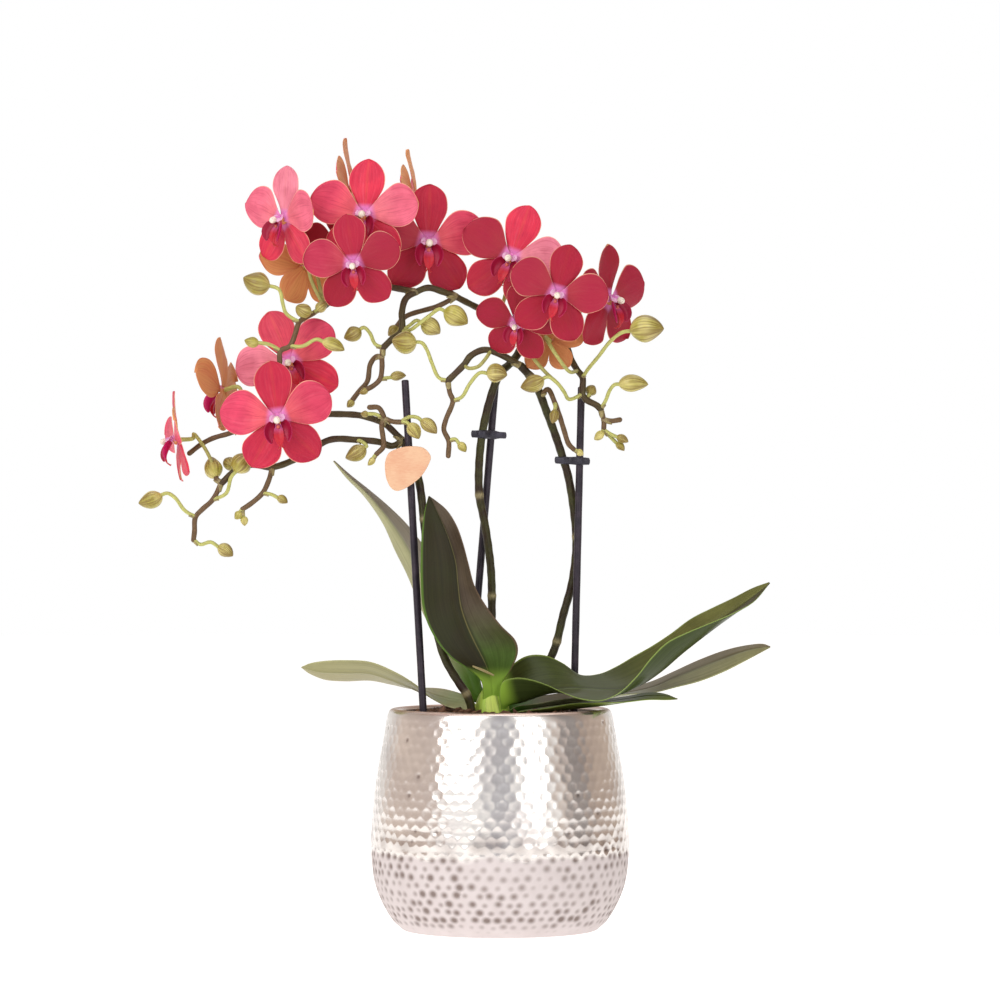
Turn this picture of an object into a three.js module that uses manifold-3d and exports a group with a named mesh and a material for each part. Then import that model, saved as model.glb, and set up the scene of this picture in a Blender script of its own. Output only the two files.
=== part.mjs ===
// Potted moth orchid in flower: a hammered silver cachepot, a nursery pot of bark inside it, a crown with six
// leaves, three flower spikes clipped to stakes, seventeen blooms and a bare care label.
// Millimetres, +Z up. The origin is the centre of the pot's foot, and the viewer stands on the -Y side.
import * as THREE from 'three';
import { mergeVertices } from 'three/addons/utils/BufferGeometryUtils.js';
import Module from 'manifold-3d';

const wasm = await Module();
wasm.setup();

// Clearance between pieces that touch, such as a stake in its hole.
const GAP = 0.3;
// Detail smaller than this is dropped where pieces grow together.
const SLIVER = 0.12;
// A loose speck below this volume is dropped too.
const SPECK = 0.5;

// Cachepot: outer outline as [radius, height] from the foot to the rim, wall and floor.
const POT_OUTLINE = [[48.3, 0], [53.6, 4.8], [59.3, 14.4], [62.7, 23.9], [64.5, 38], [64.2, 52.6], [62.4, 71.8],
  [59.1, 90.9], [56.2, 106.2]];
const POT = { height: 110.5, rimRadius: 52.7, wall: 4.6, floor: 6, rows: 10, segments: 34, dimple: 0.45 };
// The rim's section, from its crest, and the shares of the outer outline's length where the inner wall has
// points.
const POT_RIM = [[1.6, -0.9], [0, 0], [-1.5, -0.9]];
const POT_INSIDE = [0.93, 0.72, 0.45, 0.2];
const POT_HEEL = 0.1;

// Nursery pot: thin plastic, tapered, with a rolled rim and drain openings.
const NURSERY = { footRadius: 40, topRadius: 46.5, top: 103, wall: 1.1, rim: 2, collar: 5, segments: 20 };
const DRAIN = { count: 5, ring: 24, radius: 4, depth: 6, sides: 6 };

// Bark that fills the nursery pot: it rises from its shoulder at the wall to an uneven top.
const BARK = { top: 105.2, shoulder: 101, slope: 0.6, bump: 1.3, rings: 3, segments: NURSERY.segments,
  seed: 11 };

// Crown: the short stem that carries the leaves.
const CROWN = { x: -4, y: 0, bottom: 92, waist: 104, neck: 113.4, top: 121, footRadius: 5.4, radius: 9,
  neckRadius: 7.7, topRadius: 4.2, segments: 12 };

// Stakes: straight round rods pushed into the bark, each given by its foot and its top.
const STAKE = { radius: 1.85, sides: 8 };
const STAKES = {
  a: { foot: [-34.3, -15, 40], top: [-47.5, -3, 276.2] },
  b: { foot: [-24, 27, 9], top: [-1.5, 9.5, 283.2] },
  c: { foot: [36, 15, 60], top: [41, 14.5, 273] },
};

// Clips: small bars that hold a stem to a stake, each given by its centre and its size.
const CLIP_CORNER = 1.8;
const CLIPS = {
  a: { at: [-43.5, -3.2, 230.5], size: [12, 13.6, 4.6] },
  b: { at: [-6.8, 8.8, 247.4], size: [18, 12, 4.6] },
  c: { at: [36.4, 16.2, 234.4], size: [18, 11, 4.4] },
};

// Care label: a card of rounded triangular outline, by points about its centre.
const TAG = { at: [-46, 230.6], thick: 1, steps: 3 };
const TAG_OUTLINE = [[-9, 7], [1.5, 11], [8.5, 9.6], [11.4, 5.4], [6, -4.4], [-0.4, -9.4], [-6, -11.2],
  [-10, -9], [-11.4, -1]];

// Stems of the flower spikes: radius and number of sides.
const STEM = {
  main: { radius: 2.05, sides: 6 },
  arm: { radius: 1.65, sides: 5 },
  branch: { radius: 1.3, sides: 5 },
  pedicel: { radius: 0.95, sides: 4 },
};

// Each piece of a spike is a stem of one of those sizes along its route, from a point of an earlier one.
// A bud at a stem's end is given by its [length, width].
const SPIKES = {
  a: [
    { size: 'main', route: [[-13.5, -9, 93], [-14, -9, 109], [-16.5, -9.5, 117.6], [-20.5, -9.5, 123.6],
      [-28, -9, 137], [-34, -7.5, 164], [-38, -4, 205], [-40.5, -1.2, 224], [-44, 0, 236], [-48.5, 0, 244]] },
    { size: 'arm', route: [[-48.5, 0, 244], [-54, 0, 249.6], [-58, 0, 253], [-65, 1, 255.6], [-70.5, 2, 257],
      [-85, 2, 257.6], [-97, 2, 257], [-110, 2, 254.6], [-129, 2, 250]] },
    { size: 'branch', route: [[-129, 2, 250], [-136.5, 2, 247.6], [-143.5, 3, 245.6], [-149.5, 4, 242.6],
      [-155.5, 4, 238]] },
    { size: 'arm', route: [[-48.5, 0, 244], [-54, -2, 241.6], [-60.5, -3, 243.6], [-71.5, -4, 244.6],
      [-85, -4, 244.6], [-100, -4, 236], [-113.5, -4, 231], [-124, -4, 232.2], [-131.5, -4, 229.6],
      [-139, -4, 223]] },
    { size: 'branch', route: [[-139, -4, 223], [-143.5, -4, 214.6], [-148.5, -4, 210], [-152, -4, 206],
      [-152.5, -4, 198.6], [-153, -4, 194.6]] },
    { size: 'pedicel', route: [[-153, -4, 194.6], [-149.5, -4, 192.4], [-144.5, -4, 193.6], [-140, -4, 190.8]],
      bud: [9, 7] },
    { size: 'pedicel', route: [[-152, -4, 206], [-157.5, -5, 209.6], [-162, -5, 215.6], [-166, -5, 218],
      [-170, -5, 216.6]], bud: [12.5, 9] },
    { size: 'pedicel', route: [[-143.5, -4, 214.6], [-136.5, -6, 218], [-134, -7, 226], [-131, -7, 229.4]],
      bud: [11.5, 11] },
    { size: 'branch', route: [[-139, -4, 223], [-141.5, -3, 225], [-142, -2, 227]], bud: [12, 9.5] },
    { size: 'pedicel', route: [[-131.5, -4, 229.6], [-133, 0, 231], [-134, 2, 232]], bud: [9, 7] },
    { size: 'branch', route: [[-113.5, -4, 231], [-115.5, -5, 224], [-118.5, -5, 218], [-124, -5, 213],
      [-128.5, -5, 210]] },
    { size: 'pedicel', route: [[-128.5, -5, 210], [-129.6, -5, 208.6]], bud: [5, 4.4] },
    { size: 'pedicel', route: [[-128.5, -5, 210], [-128, -5, 206]], bud: [5, 4] },
    { size: 'pedicel', route: [[-118.5, -5, 218], [-114, -6, 217.4], [-110.6, -6, 215.6]], bud: [6, 4.6] },
    { size: 'pedicel', route: [[-71.5, -4, 244.6], [-69, -7, 243], [-69.5, -8, 241.6]], bud: [11.5, 8] },
    { size: 'branch', route: [[-58, 0, 253], [-57.6, -5, 255], [-60.5, -7, 260.6], [-65, -7, 260.8]] },
    { size: 'branch', route: [[-57.6, -5, 255], [-53, -8, 253.6], [-49.4, -9.6, 253.4]] },
    { size: 'pedicel', route: [[-49.4, -9.6, 253.4], [-45, -10, 256], [-41, -10, 255.6], [-38.6, -10, 253.6]],
      bud: [10.5, 7] },
    { size: 'pedicel', route: [[-49.4, -9.6, 253.4], [-46, -11, 253], [-45, -11.4, 251.6]], bud: [9.5, 7] },
    { size: 'branch', route: [[-57.6, -5, 255], [-59, -7, 252], [-58.4, -7.6, 246.6], [-58, -7.6, 241.4],
      [-61.6, -7.6, 237.4]] },
    { size: 'pedicel', route: [[-61.6, -7.6, 237.4], [-63, -7.6, 235.6]], bud: [5.4, 3.4] },
    { size: 'pedicel', route: [[-57.6, -5, 255], [-62, -6, 257.4], [-66, -6, 257.6]], bud: [4, 3.6] },
  ],
  b: [
    { size: 'main', route: [[-3, 13.5, 93], [-3, 14, 120], [-4, 13, 150], [-4.5, 10.5, 179], [-7.5, 8.8, 202],
      [-10.5, 7.5, 218.6], [-9.4, 6.5, 244.6], [-4.5, 5.4, 266.6], [0.5, 6, 279], [4, 8, 282], [9, 12, 288],
      [12, 16, 296], [10, 19, 302.5], [3, 19.5, 306.5], [-5.5, 18, 308.6]] },
    { size: 'arm', route: [[12, 16, 296], [20, 16, 300], [28, 13, 298], [33, 10, 292.6], [36, 8.5, 284.6],
      [39, 7, 279.4], [41.4, 6, 276], [41.4, 5, 267.6], [43, 5, 265], [48.5, 5, 262], [50.5, 5, 260]] },
    { size: 'branch', route: [[50.5, 5, 260], [52, 5, 254.6], [52, 5, 249.6]] },
    { size: 'pedicel', route: [[52, 5, 249.6], [51, 4, 248.6]], bud: [7.5, 4.4] },
    { size: 'pedicel', route: [[52, 5, 249.6], [55.5, 4, 247.6], [59, 4, 246]], bud: [6.6, 4.6] },
    { size: 'pedicel', route: [[52, 5, 249.6], [56, 7, 245.6], [58.6, 7, 243]], bud: [6, 4] },
    { size: 'branch', route: [[52, 5, 254.6], [56, 5, 254.2], [60, 5, 254.8]] },
    { size: 'pedicel', route: [[41.4, 6, 276], [44, 0, 280], [49, -8, 286], [55, -13, 293.6], [61, -16, 298],
      [66.6, -17, 298.4]], bud: [17, 14] },
    { size: 'pedicel', route: [[50.5, 5, 260], [53, 4, 264.6], [55, 3, 269.6], [57.5, 2, 272.4],
      [61, 2, 272.4]], bud: [15, 9] },
    { size: 'pedicel', route: [[41.4, 5, 267.6], [34.5, 1, 265], [32, -3, 268.6], [28.5, -6, 273],
      [24, -7.5, 276], [20.4, -8, 274.6]], bud: [12.5, 9] },
    { size: 'pedicel', route: [[43, 5, 265], [45, 7, 268]], bud: [6, 6] },
    { size: 'arm', route: [[-5.5, 18, 308.6], [-14, 12, 312.6], [-22, 7, 316.6], [-27.5, 12.5, 320.6],
      [-33.5, 13, 326]] },
    { size: 'arm', route: [[-22, 7, 316.6], [-29, 4, 319], [-36, 2, 320.8], [-42, 1, 318.6], [-47, 0, 315.4],
      [-49, 0, 309], [-49.3, 0, 299], [-54.5, 0, 294.6], [-58.5, 0, 290.6]] },
    { size: 'branch', route: [[-58.5, 0, 290.6], [-59, 0, 286], [-59, 0, 280.6], [-60, 0, 275],
      [-63.5, 0, 271.6], [-66.5, 0, 270]], bud: [5, 3.6] },
    { size: 'pedicel', route: [[-60, 0, 275], [-57, 1, 275.6], [-54, 2, 276]], bud: [8.4, 5] },
    { size: 'branch', route: [[-22, 7, 316.6], [-31, 9, 312], [-47.5, 9, 306.6], [-52, 9, 301.6]],
      bud: [7, 6] },
    { size: 'branch', route: [[-59, 0, 286], [-62, 3, 286.4], [-65, 5, 282.6], [-66.5, 5, 274],
      [-71, 5, 268.6], [-74, 5, 264.6]], bud: [5, 4] },
    { size: 'pedicel', route: [[-58.5, 0, 290.6], [-62.5, -1, 292.6], [-65, -2, 298], [-68, -2, 300.8],
      [-70.6, -2, 299.4]], bud: [9.5, 8] },
    { size: 'pedicel', route: [[-49.3, 0, 299], [-44.5, -4, 299.6], [-41, -6, 302], [-35, -7, 306.6],
      [-30, -8, 309.8], [-26.6, -8, 308]], bud: [13.5, 11] },
    { size: 'pedicel', route: [[-49.3, 0, 299], [-45, -1, 302], [-41.6, 0, 304.4], [-38.4, 0, 302.6]],
      bud: [11, 9.6] },
    { size: 'arm', route: [[-42, 1, 318.6], [-54, 4, 321], [-66, 5, 322.4], [-80, 4, 317.4],
      [-88, 2, 311.6]] },
    { size: 'branch', route: [[-88, 2, 311.6], [-93.5, -4, 307.6], [-100, -10, 303], [-102, -13, 296.6],
      [-104.5, -15, 291], [-109, -16, 288.6], [-109.4, -16, 282.6]] },
    { size: 'pedicel', route: [[-109.4, -16, 282.6], [-109.2, -16, 281]], bud: [4.6, 4] },
    { size: 'pedicel', route: [[-100, -10, 303], [-106.5, -11, 307.6], [-108, -11, 312], [-110, -12, 319.4],
      [-116, -12, 321.4]], bud: [14, 12] },
    { size: 'pedicel', route: [[-104.5, -15, 291], [-98, -16, 291], [-91, -16, 294.4], [-87, -16, 292.8]],
      bud: [12, 7] },
    { size: 'pedicel', route: [[-109, -16, 288.6], [-114, -16, 291.6], [-120.5, -16, 292.8]],
      bud: [7.4, 5.6] },
    { size: 'pedicel', route: [[-93.5, -4, 307.6], [-95.4, -6, 308.4]], bud: [10, 7.5] },
    { size: 'pedicel', route: [[-93.5, -4, 307.6], [-91, -3, 309.4]], bud: [7, 5.6] },
  ],
  c: [
    { size: 'main', route: [[7, 14.5, 93], [9, 16.5, 110], [16, 19, 121], [26.5, 20, 137], [32, 20.5, 157],
      [36.5, 20.6, 173.6], [38.5, 20.4, 192.6], [37.5, 20, 207], [34.5, 18.8, 226], [31.6, 17.4, 236],
      [27, 13, 249.6], [23, 8.5, 260], [20.5, 6, 266.6], [16.5, 2.5, 274.6], [10.5, 0, 281.6]] },
    { size: 'arm', route: [[10.5, 0, 281.6], [1.5, -3, 286.6], [-7.5, -4, 289.6], [-14.5, -5, 286.6],
      [-18, -6, 282], [-26, -6, 274]] },
    { size: 'branch', route: [[20.5, 6, 266.6], [24, 2, 270], [27.5, 0, 263], [30, 0, 256], [32, 1, 249.6],
      [34.4, 3, 242.6], [37, 5, 240]] },
    { size: 'pedicel', route: [[37, 5, 240], [38.6, 5.4, 239]], bud: [4.4, 3.6] },
    { size: 'pedicel', route: [[27.5, 0, 263], [27.6, -3, 261], [27.2, -4, 259]], bud: [8, 5] },
    { size: 'branch', route: [[-26, -6, 274], [-25, -6, 268], [-23.5, -6, 264], [-27, -6, 254.6],
      [-28, -6, 249.6], [-25.6, -6, 244], [-25.8, -6, 236.6]] },
    { size: 'pedicel', route: [[-26, -6, 274], [-30.5, -6, 275.6], [-34, -6, 283], [-36.5, -6, 289.6],
      [-39, -6, 293], [-43, -6, 293.4]], bud: [12.5, 12] },
    { size: 'pedicel', route: [[-23.5, -6, 264], [-19, -7, 266], [-15, -8, 272.6], [-10, -8, 278],
      [-5.6, -8, 277.6]], bud: [10.5, 10] },
    { size: 'pedicel', route: [[-25.6, -6, 244], [-22.4, -6, 245], [-20.4, -6, 242.6]], bud: [6, 4.5] },
  ],
};

// Buds: an egg shape, wide near the stalk, by relative [radius, height].
const BUD_OUTLINE = [[0, 0], [0.75, 0.14], [1, 0.48], [0.66, 0.84], [0, 1]];
const BUD_SIDES = 5;
// The share of a bud's length that its stalk reaches into it.
const BUD_SEAT = 0.12;

// Leaves: stations from the crown to the tip, each with a point of one margin, of the midrib and of the other
// margin. The upper face is on the side of the cross product of the way to the tip and the way to the second
// margin. fold is the power by which the sheet leaves the midrib.
const LEAF = { thick: 1.7, edge: 0.55, rows: 15, columns: 4, fold: 1.5 };
const LEAVES = {
  leaf_front: [
    [[1, -4, 114], [-4, -3, 112], [-8.5, -5, 114]], [[1, -9, 123], [-4, -8, 120.9], [-9.5, -12, 124.6]],
    [[6, -14, 131.1], [-6.5, -12.5, 131.1], [-16.9, -19, 131.5]],
    [[8.9, -17.5, 139.2], [-9.9, -15, 138.6], [-23.8, -21.5, 136.3]],
    [[7.7, -20, 144.7], [-12.9, -16.5, 144.6], [-29.7, -22.5, 142.8]],
    [[0.5, -23.5, 152.2], [-16.6, -17.5, 153.1], [-35.4, -23, 152.7]],
    [[-6.9, -26, 162], [-19.4, -17.5, 162], [-38.3, -23.5, 162.1]],
    [[-12.6, -27, 172.1], [-20.7, -17.5, 172.4], [-39.2, -23.5, 172.5]],
    [[-15.7, -26.5, 183.5], [-21.8, -17, 183.3], [-39.4, -22.5, 183.9]],
    [[-18.4, -24.5, 193.3], [-24.6, -16.5, 193.3], [-39, -21.5, 194.3]],
    [[-21.8, -21.5, 202.2], [-28.1, -16, 202.2], [-38.2, -20, 202.7]],
    [[-26.5, -18.5, 209.6], [-31.6, -15.7, 209.6], [-37.2, -18, 209.6]],
    [[-32, -16.2, 214.4], [-33.8, -15.5, 214.4], [-36.1, -16.4, 214.4]],
    [[-34.8, -15.5, 216.4], [-35.2, -15.4, 216.6], [-35.6, -15.5, 216.4]],
  ],
  leaf_back_left: [
    [[-4, 6, 113], [-7, 5, 111], [-9, 6.5, 113]], [[-8.5, 10, 119.2], [-12, 6, 119.4], [-16.1, 11, 114.1]],
    [[-11.6, 13, 132.1], [-17.6, 11, 133.2], [-22.2, 16, 128]],
    [[-18.6, 16.5, 151.7], [-25.7, 15.5, 150.2], [-32.3, 20, 145]],
    [[-26.2, 21.5, 168.2], [-33.3, 19, 165.7], [-39.9, 23, 159.6]],
    [[-35.4, 26, 186.3], [-41.4, 22, 180.8], [-46.5, 27, 175.1]],
    [[-46.2, 29, 200.9], [-49.5, 24, 195.4], [-53.2, 29, 188.3]],
    [[-55.7, 31, 210.6], [-57.4, 26, 206.3], [-59.8, 30.5, 202.9]],
    [[-66.1, 31.5, 219.7], [-67.3, 27.5, 217.9], [-68.7, 31, 216.1]],
    [[-76.2, 30, 227.8], [-77.2, 28.4, 227.2], [-78.5, 30, 226.4]],
    [[-83.7, 28.3, 234.5], [-84.2, 28, 234.4], [-84.5, 28.3, 234.1]],
  ],
  leaf_left: [
    [[-9, 2.5, 108], [-9, 0, 106.5], [-8, -4, 107.5]], [[-15, 6, 115.3], [-16, 2, 112.8], [-16.5, -3, 110]],
    [[-25.6, 12.5, 119.2], [-26.1, 6.5, 114.6], [-26, -2, 111.4]],
    [[-35.3, 18, 120.1], [-35.1, 9, 117], [-34, -1, 115.1]],
    [[-44.4, 21, 119.5], [-44.2, 11, 120.9], [-43, 0.5, 122.3]],
    [[-54, 23.5, 121.2], [-54.8, 12.5, 124.9], [-53.5, 1.5, 128.6]],
    [[-65.7, 25, 123.1], [-65.9, 13, 128.2], [-65, 1.5, 133.4]],
    [[-78.3, 24.5, 122.6], [-78.5, 13.5, 128.5], [-77.6, 2.5, 134.4]],
    [[-88.8, 21.5, 123.6], [-89, 13.5, 128.8], [-88.2, 5.5, 134]],
    [[-95.7, 17.5, 126.8], [-95.8, 13.3, 129.8], [-95.4, 9.5, 132.7]],
    [[-99.6, 13.8, 130], [-99.9, 13, 130.4], [-99.5, 12.4, 130.9]],
  ],
  leaf_right: [
    [[1, -8, 107], [-2, -2, 104.5], [-1, 4, 109]], [[0.7, -13, 123.4], [3.5, -7.5, 112.9], [1.8, 1, 124.6]],
    [[6.9, -17.5, 126.1], [10.5, -9.5, 114.8], [6, -0.5, 131.9]],
    [[14.4, -22, 125.5], [17.9, -11.5, 117.3], [13.5, -2, 136.7]],
    [[22.7, -26, 122.8], [26.3, -13.5, 119.7], [22.5, -3, 136.9]],
    [[30.6, -29.5, 119.2], [34.8, -15.5, 120.5], [31, -3.5, 133.1]],
    [[39.4, -32, 116.2], [43.2, -17, 120.6], [39.9, -3, 127.1]],
    [[49.8, -33, 115.4], [51.6, -17.5, 120.1], [49.5, -1.5, 127.4]],
    [[58.7, -32, 119.2], [60.6, -16.8, 120.3], [58, -0.5, 131]],
    [[67.1, -30, 127], [69.5, -15, 123.6], [67, 0.5, 136.3]],
    [[75.1, -27.5, 136.8], [79.5, -13, 130.2], [76, 1, 141.4]],
    [[82.6, -25, 143.9], [89.5, -11.5, 138.7], [85.6, 1.5, 147.7]],
    [[92.1, -22, 148.5], [99.6, -10, 146.6], [95.5, 1, 155.1]],
    [[103.7, -18.5, 153], [109.6, -8.5, 154], [106, 0, 160.5]],
    [[115.8, -14.5, 157.8], [119.6, -7.5, 161], [116.4, -1.5, 165.5]],
    [[126.4, -10.5, 163.7], [128.1, -6.6, 167.5], [126.3, -3.4, 170.7]],
    [[134.1, -6.4, 172.5], [134.6, -6, 173.1], [134.2, -5.6, 173.7]],
  ],
  leaf_right_back: [
    [[1, -2, 106], [1, 2, 104], [1, 6, 108]], [[7, -4, 111.5], [8, 1, 108.8], [7, 7, 113.3]],
    [[19, -6, 113.6], [20.5, 1.5, 110.3], [19.1, 10, 115.7]],
    [[29.9, -6.5, 115.6], [33, 2, 112.5], [32.2, 11, 117.6]],
    [[45.9, -6, 117.1], [48.1, 3, 115], [47.2, 12, 119.1]],
    [[62.4, -5, 117.8], [64.1, 4, 117.5], [63.4, 14, 120.3]],
    [[77.4, -4, 118.4], [77.2, 5, 120.5], [75.5, 15.5, 123.2]],
    [[87.9, -3, 120.7], [88.2, 6, 125.3], [87.6, 16, 128.3]],
    [[99.9, -2, 123.7], [101.3, 7, 130.5], [98.7, 16, 133.2]],
    [[112, 0.5, 128.4], [113.9, 7.8, 135.4], [111.7, 14.5, 138.2]],
    [[123.2, 4, 134], [124.9, 8, 139.2], [123.6, 12, 141.4]],
    [[131.9, 6.6, 138.6], [132.5, 8, 140.7], [132, 9.2, 142.4]],
    [[135.5, 7.8, 140.5], [135.7, 8, 140.9], [135.5, 8.2, 141.3]],
  ],
  leaf_right_low: [
    [[3, -10, 107.6], [3, -6, 106.4], [3, -2.5, 107.2]],
    [[10.9, -17, 109.6], [11.4, -12, 108.9], [11, -8, 109.5]],
    [[22.3, -20.5, 111], [23.8, -14.5, 110.1], [22.9, -10, 111.4]],
    [[36.1, -23, 113.6], [37.7, -16.5, 111.9], [36.8, -11, 113.4]],
    [[49.5, -24, 114.4], [51.6, -17, 113.6], [50.8, -11, 115.2]],
    [[62.4, -23.5, 114.6], [64.5, -17, 115.5], [63.2, -10.5, 117]],
    [[73.3, -21, 115.3], [75, -16, 117], [74.1, -11, 118.8]],
    [[82.4, -18, 115.3], [82.9, -15.5, 116.8], [82.5, -13, 118.2]],
    [[87.9, -15.3, 115.5], [88.4, -15, 115.8], [87.9, -14.7, 116.1]],
  ],
};

// Blooms: centre, azimuth of the face in degrees (0 looks at the viewer, positive to the right), rise above
// the horizon, roll (positive turns the top to the left), width, and the point of the spike where its stalk
// starts.
const BLOOMS = {
  bloom_01: { at: [-108.5, 0, 355], azimuth: -46, rise: -4, roll: -6, width: 50, spike: 'b',
    from: [-88, 2, 311.6], via: [[-94.5, 5, 324.6], [-97.5, 7, 338.6]] },
  bloom_02: { at: [-67.5, -8, 356.6], azimuth: -10, rise: 2, roll: -3, width: 53,
    spike: 'b', from: [-66, 5, 322.4] },
  bloom_03: { at: [-72.5, -25, 331], azimuth: -4, rise: -8, roll: 7, width: 47,
    spike: 'b', from: [-66, 5, 322.4] },
  bloom_04: { at: [-36, 5.5, 343.6], azimuth: 6, rise: -2, roll: -2, width: 55,
    spike: 'b', from: [-33.5, 13, 326] },
  bloom_05: { at: [-75.5, 24, 371], azimuth: -96, rise: -11, roll: 4, width: 50,
    spike: 'b', from: [-66, 5, 322.4] },
  bloom_06: { at: [-43, 27, 367], azimuth: -97, rise: -13, roll: 6, width: 48,
    spike: 'b', from: [-33.5, 13, 326] },
  bloom_07: { at: [5.5, -9, 335], azimuth: -12, rise: 0, roll: -19, width: 52, spike: 'c',
    from: [-14.5, -5, 286.6], via: [[-9, 1, 284.5], [-5, 8, 289], [-1.5, 11, 297], [3, 7, 315]] },
  bloom_08: { at: [28, -28, 316], azimuth: 2, rise: -4, roll: -16, width: 48, spike: 'b', from: [20, 16, 300],
    via: [[24, 10, 314]] },
  bloom_09: { at: [8.5, -15, 302], azimuth: -16, rise: -18, roll: -10, width: 40, spike: 'b',
    from: [28.5, -6, 273], via: [[23, -6, 278], [17, -5, 285], [12.5, -4, 295]] },
  bloom_10: { at: [55, 4, 315], azimuth: 52, rise: -4, roll: 5, width: 52, spike: 'b', from: [20, 16, 300],
    via: [[36, 15, 306]] },
  bloom_11: { at: [25, 1, 294], azimuth: 165, rise: -10, roll: 0, width: 34, spike: 'b',
    from: [39, 7, 279.4], via: [[34, -8, 279], [28.5, -11, 286]] },
  bloom_12: { at: [-105, 3, 283.6], azimuth: -8, rise: -2, roll: 24, width: 52,
    spike: 'a', from: [-85, 2, 257.6] },
  bloom_13: { at: [-110, -22, 254.8], azimuth: -2, rise: -4, roll: 8, width: 54,
    spike: 'a', from: [-97, 2, 257] },
  bloom_14: { at: [-139, 4, 269.6], azimuth: -108, rise: -8, roll: 4, width: 50,
    spike: 'a', from: [-129, 2, 250] },
  bloom_15: { at: [-162, -2, 244.6], azimuth: -80, rise: -6, roll: 8, width: 46, spike: 'a',
    from: [-142, -2, 227], via: [[-145, -3, 236], [-149.5, -3, 243.6], [-153, -2, 247.6]] },
  bloom_16: { at: [-99, 24, 332], azimuth: -150, rise: -16, roll: 0, width: 46,
    spike: 'b', from: [-88, 2, 311.6] },
  bloom_17: { at: [-81, 4, 343], azimuth: -22, rise: 0, roll: 4, width: 38,
    spike: 'b', from: [-80, 4, 317.4] },
};

// Tepals: the angle from the bloom's right-hand side, the length and half width, the layer along the face's
// axis, and how far the tip bends forward, all for a bloom of this nominal width.
const BLOOM = { width: 50, thick: 0.75, hub: 3, hubHalf: 1.8, root: 1.2, narrow: 1.35, cup: 0.6, ribs: 2,
  variation: 0.9, stalk: 7, seed: 7 };
const TEPALS = [
  { angle: 90, length: 25.5, half: 8.2, layer: -0.7, bend: -1.4, rows: 3 },
  { angle: 232, length: 24.5, half: 8, layer: -0.7, bend: -1.8, rows: 3 },
  { angle: 308, length: 24.5, half: 8, layer: -0.7, bend: -1.8, rows: 3 },
  { angle: 14, length: 26, half: 11.6, layer: 0.9, bend: 1.2, rows: 4 },
  { angle: 166, length: 26, half: 11.6, layer: 0.9, bend: 1.2, rows: 4 },
];

// Lip and column in front of the hub.
const COLUMN = { base: 2.2, length: 6, radius: 1.9, shoulder: 4.8, sides: 5 };
const LIP = { thick: 0.8, root: 1.2, length: 9.5, half: 5, sides: 4.5, reach: 3.4, rows: 2, columns: 4 };

const FINISH = {
  pot: { color: 0xcfc8c2, roughness: 0.2, metalness: 0.95 },
  nursery: { color: 0x3a3634, roughness: 0.55, metalness: 0 },
  bark: { color: 0x6b4a33, roughness: 0.95, metalness: 0 },
  crown: { color: 0x9cc53c, roughness: 0.5, metalness: 0 },
  leaf: { color: 0x3c5a26, roughness: 0.42, metalness: 0 },
  stake: { color: 0x2b2430, roughness: 0.45, metalness: 0 },
  clip: { color: 0x2e2c35, roughness: 0.4, metalness: 0 },
  tag: { color: 0xefc39f, roughness: 0.7, metalness: 0 },
  spike: { color: 0x5d5a30, roughness: 0.55, metalness: 0 },
  petal: { color: 0xc93450, roughness: 0.6, metalness: 0 },
  lip: { color: 0xa3134f, roughness: 0.5, metalness: 0 },
};

/** Seeded random numbers from 0 to 1. */
function seeded(seed) {
  let state = seed;
  return () => {
    state = (state * 1664525 + 1013904223) % 4294967296;
    return state / 4294967296;
  };
}

const vector = (point) => new THREE.Vector3(...point);

/** A solid from a closed geometry: its shared vertices are merged and flat triangles dropped. */
function solid(geometry) {
  const bare = new THREE.BufferGeometry();
  bare.setAttribute('position', geometry.getAttribute('position').clone());
  if (geometry.index) {
    bare.setIndex(geometry.index.clone());
  }
  const merged = mergeVertices(bare, 1e-4);
  const corners = merged.index.array;
  const kept = [];
  for (let i = 0; i < corners.length; i += 3) {
    const [a, b, c] = [corners[i], corners[i + 1], corners[i + 2]];
    if (a !== b && b !== c && c !== a) {
      kept.push(a, b, c);
    }
  }
  const mesh = new wasm.Mesh({
    numProp: 3,
    vertProperties: new Float32Array(merged.getAttribute('position').array),
    triVerts: new Uint32Array(kept),
  });
  return new wasm.Manifold(mesh);
}

/** The geometry of a solid. */
function geometryOf(body) {
  const mesh = body.getMesh();
  const geometry = new THREE.BufferGeometry();
  geometry.setAttribute('position', new THREE.Float32BufferAttribute(mesh.vertProperties, 3));
  geometry.setIndex(Array.from(mesh.triVerts));
  geometry.computeVertexNormals();
  return geometry;
}

/** Pieces grown together, without the slivers and specks that their joins leave. */
function joined(bodies) {
  const whole = wasm.Manifold.union(bodies).simplify(SLIVER);
  return wasm.Manifold.union(whole.decompose().filter((body) => body.volume() > SPECK));
}

/** A solid turned about the Z axis from a closed outline of [radius, height] points. */
function turned(outline, segments, shape = null) {
  const points = outline.map(([radius, height]) => new THREE.Vector2(radius, height));
  const geometry = new THREE.LatheGeometry(points, segments);
  // the lathe turns about Y, and this sets it upright
  geometry.rotateX(Math.PI / 2);
  if (shape) {
    const position = geometry.getAttribute('position');
    const point = new THREE.Vector3();
    for (let i = 0; i < position.count; i += 1) {
      point.fromBufferAttribute(position, i);
      shape(point, i % outline.length, Math.floor(i / outline.length) % segments);
      position.setXYZ(i, point.x, point.y, point.z);
    }
  }
  return solid(geometry);
}

/** A smooth curve whose even steps land on its own points. */
class Route extends THREE.CatmullRomCurve3 {
  constructor(points) {
    super(points.map(vector), false, 'centripetal');
  }

  getUtoTmapping(u) {
    return u;
  }
}

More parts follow.
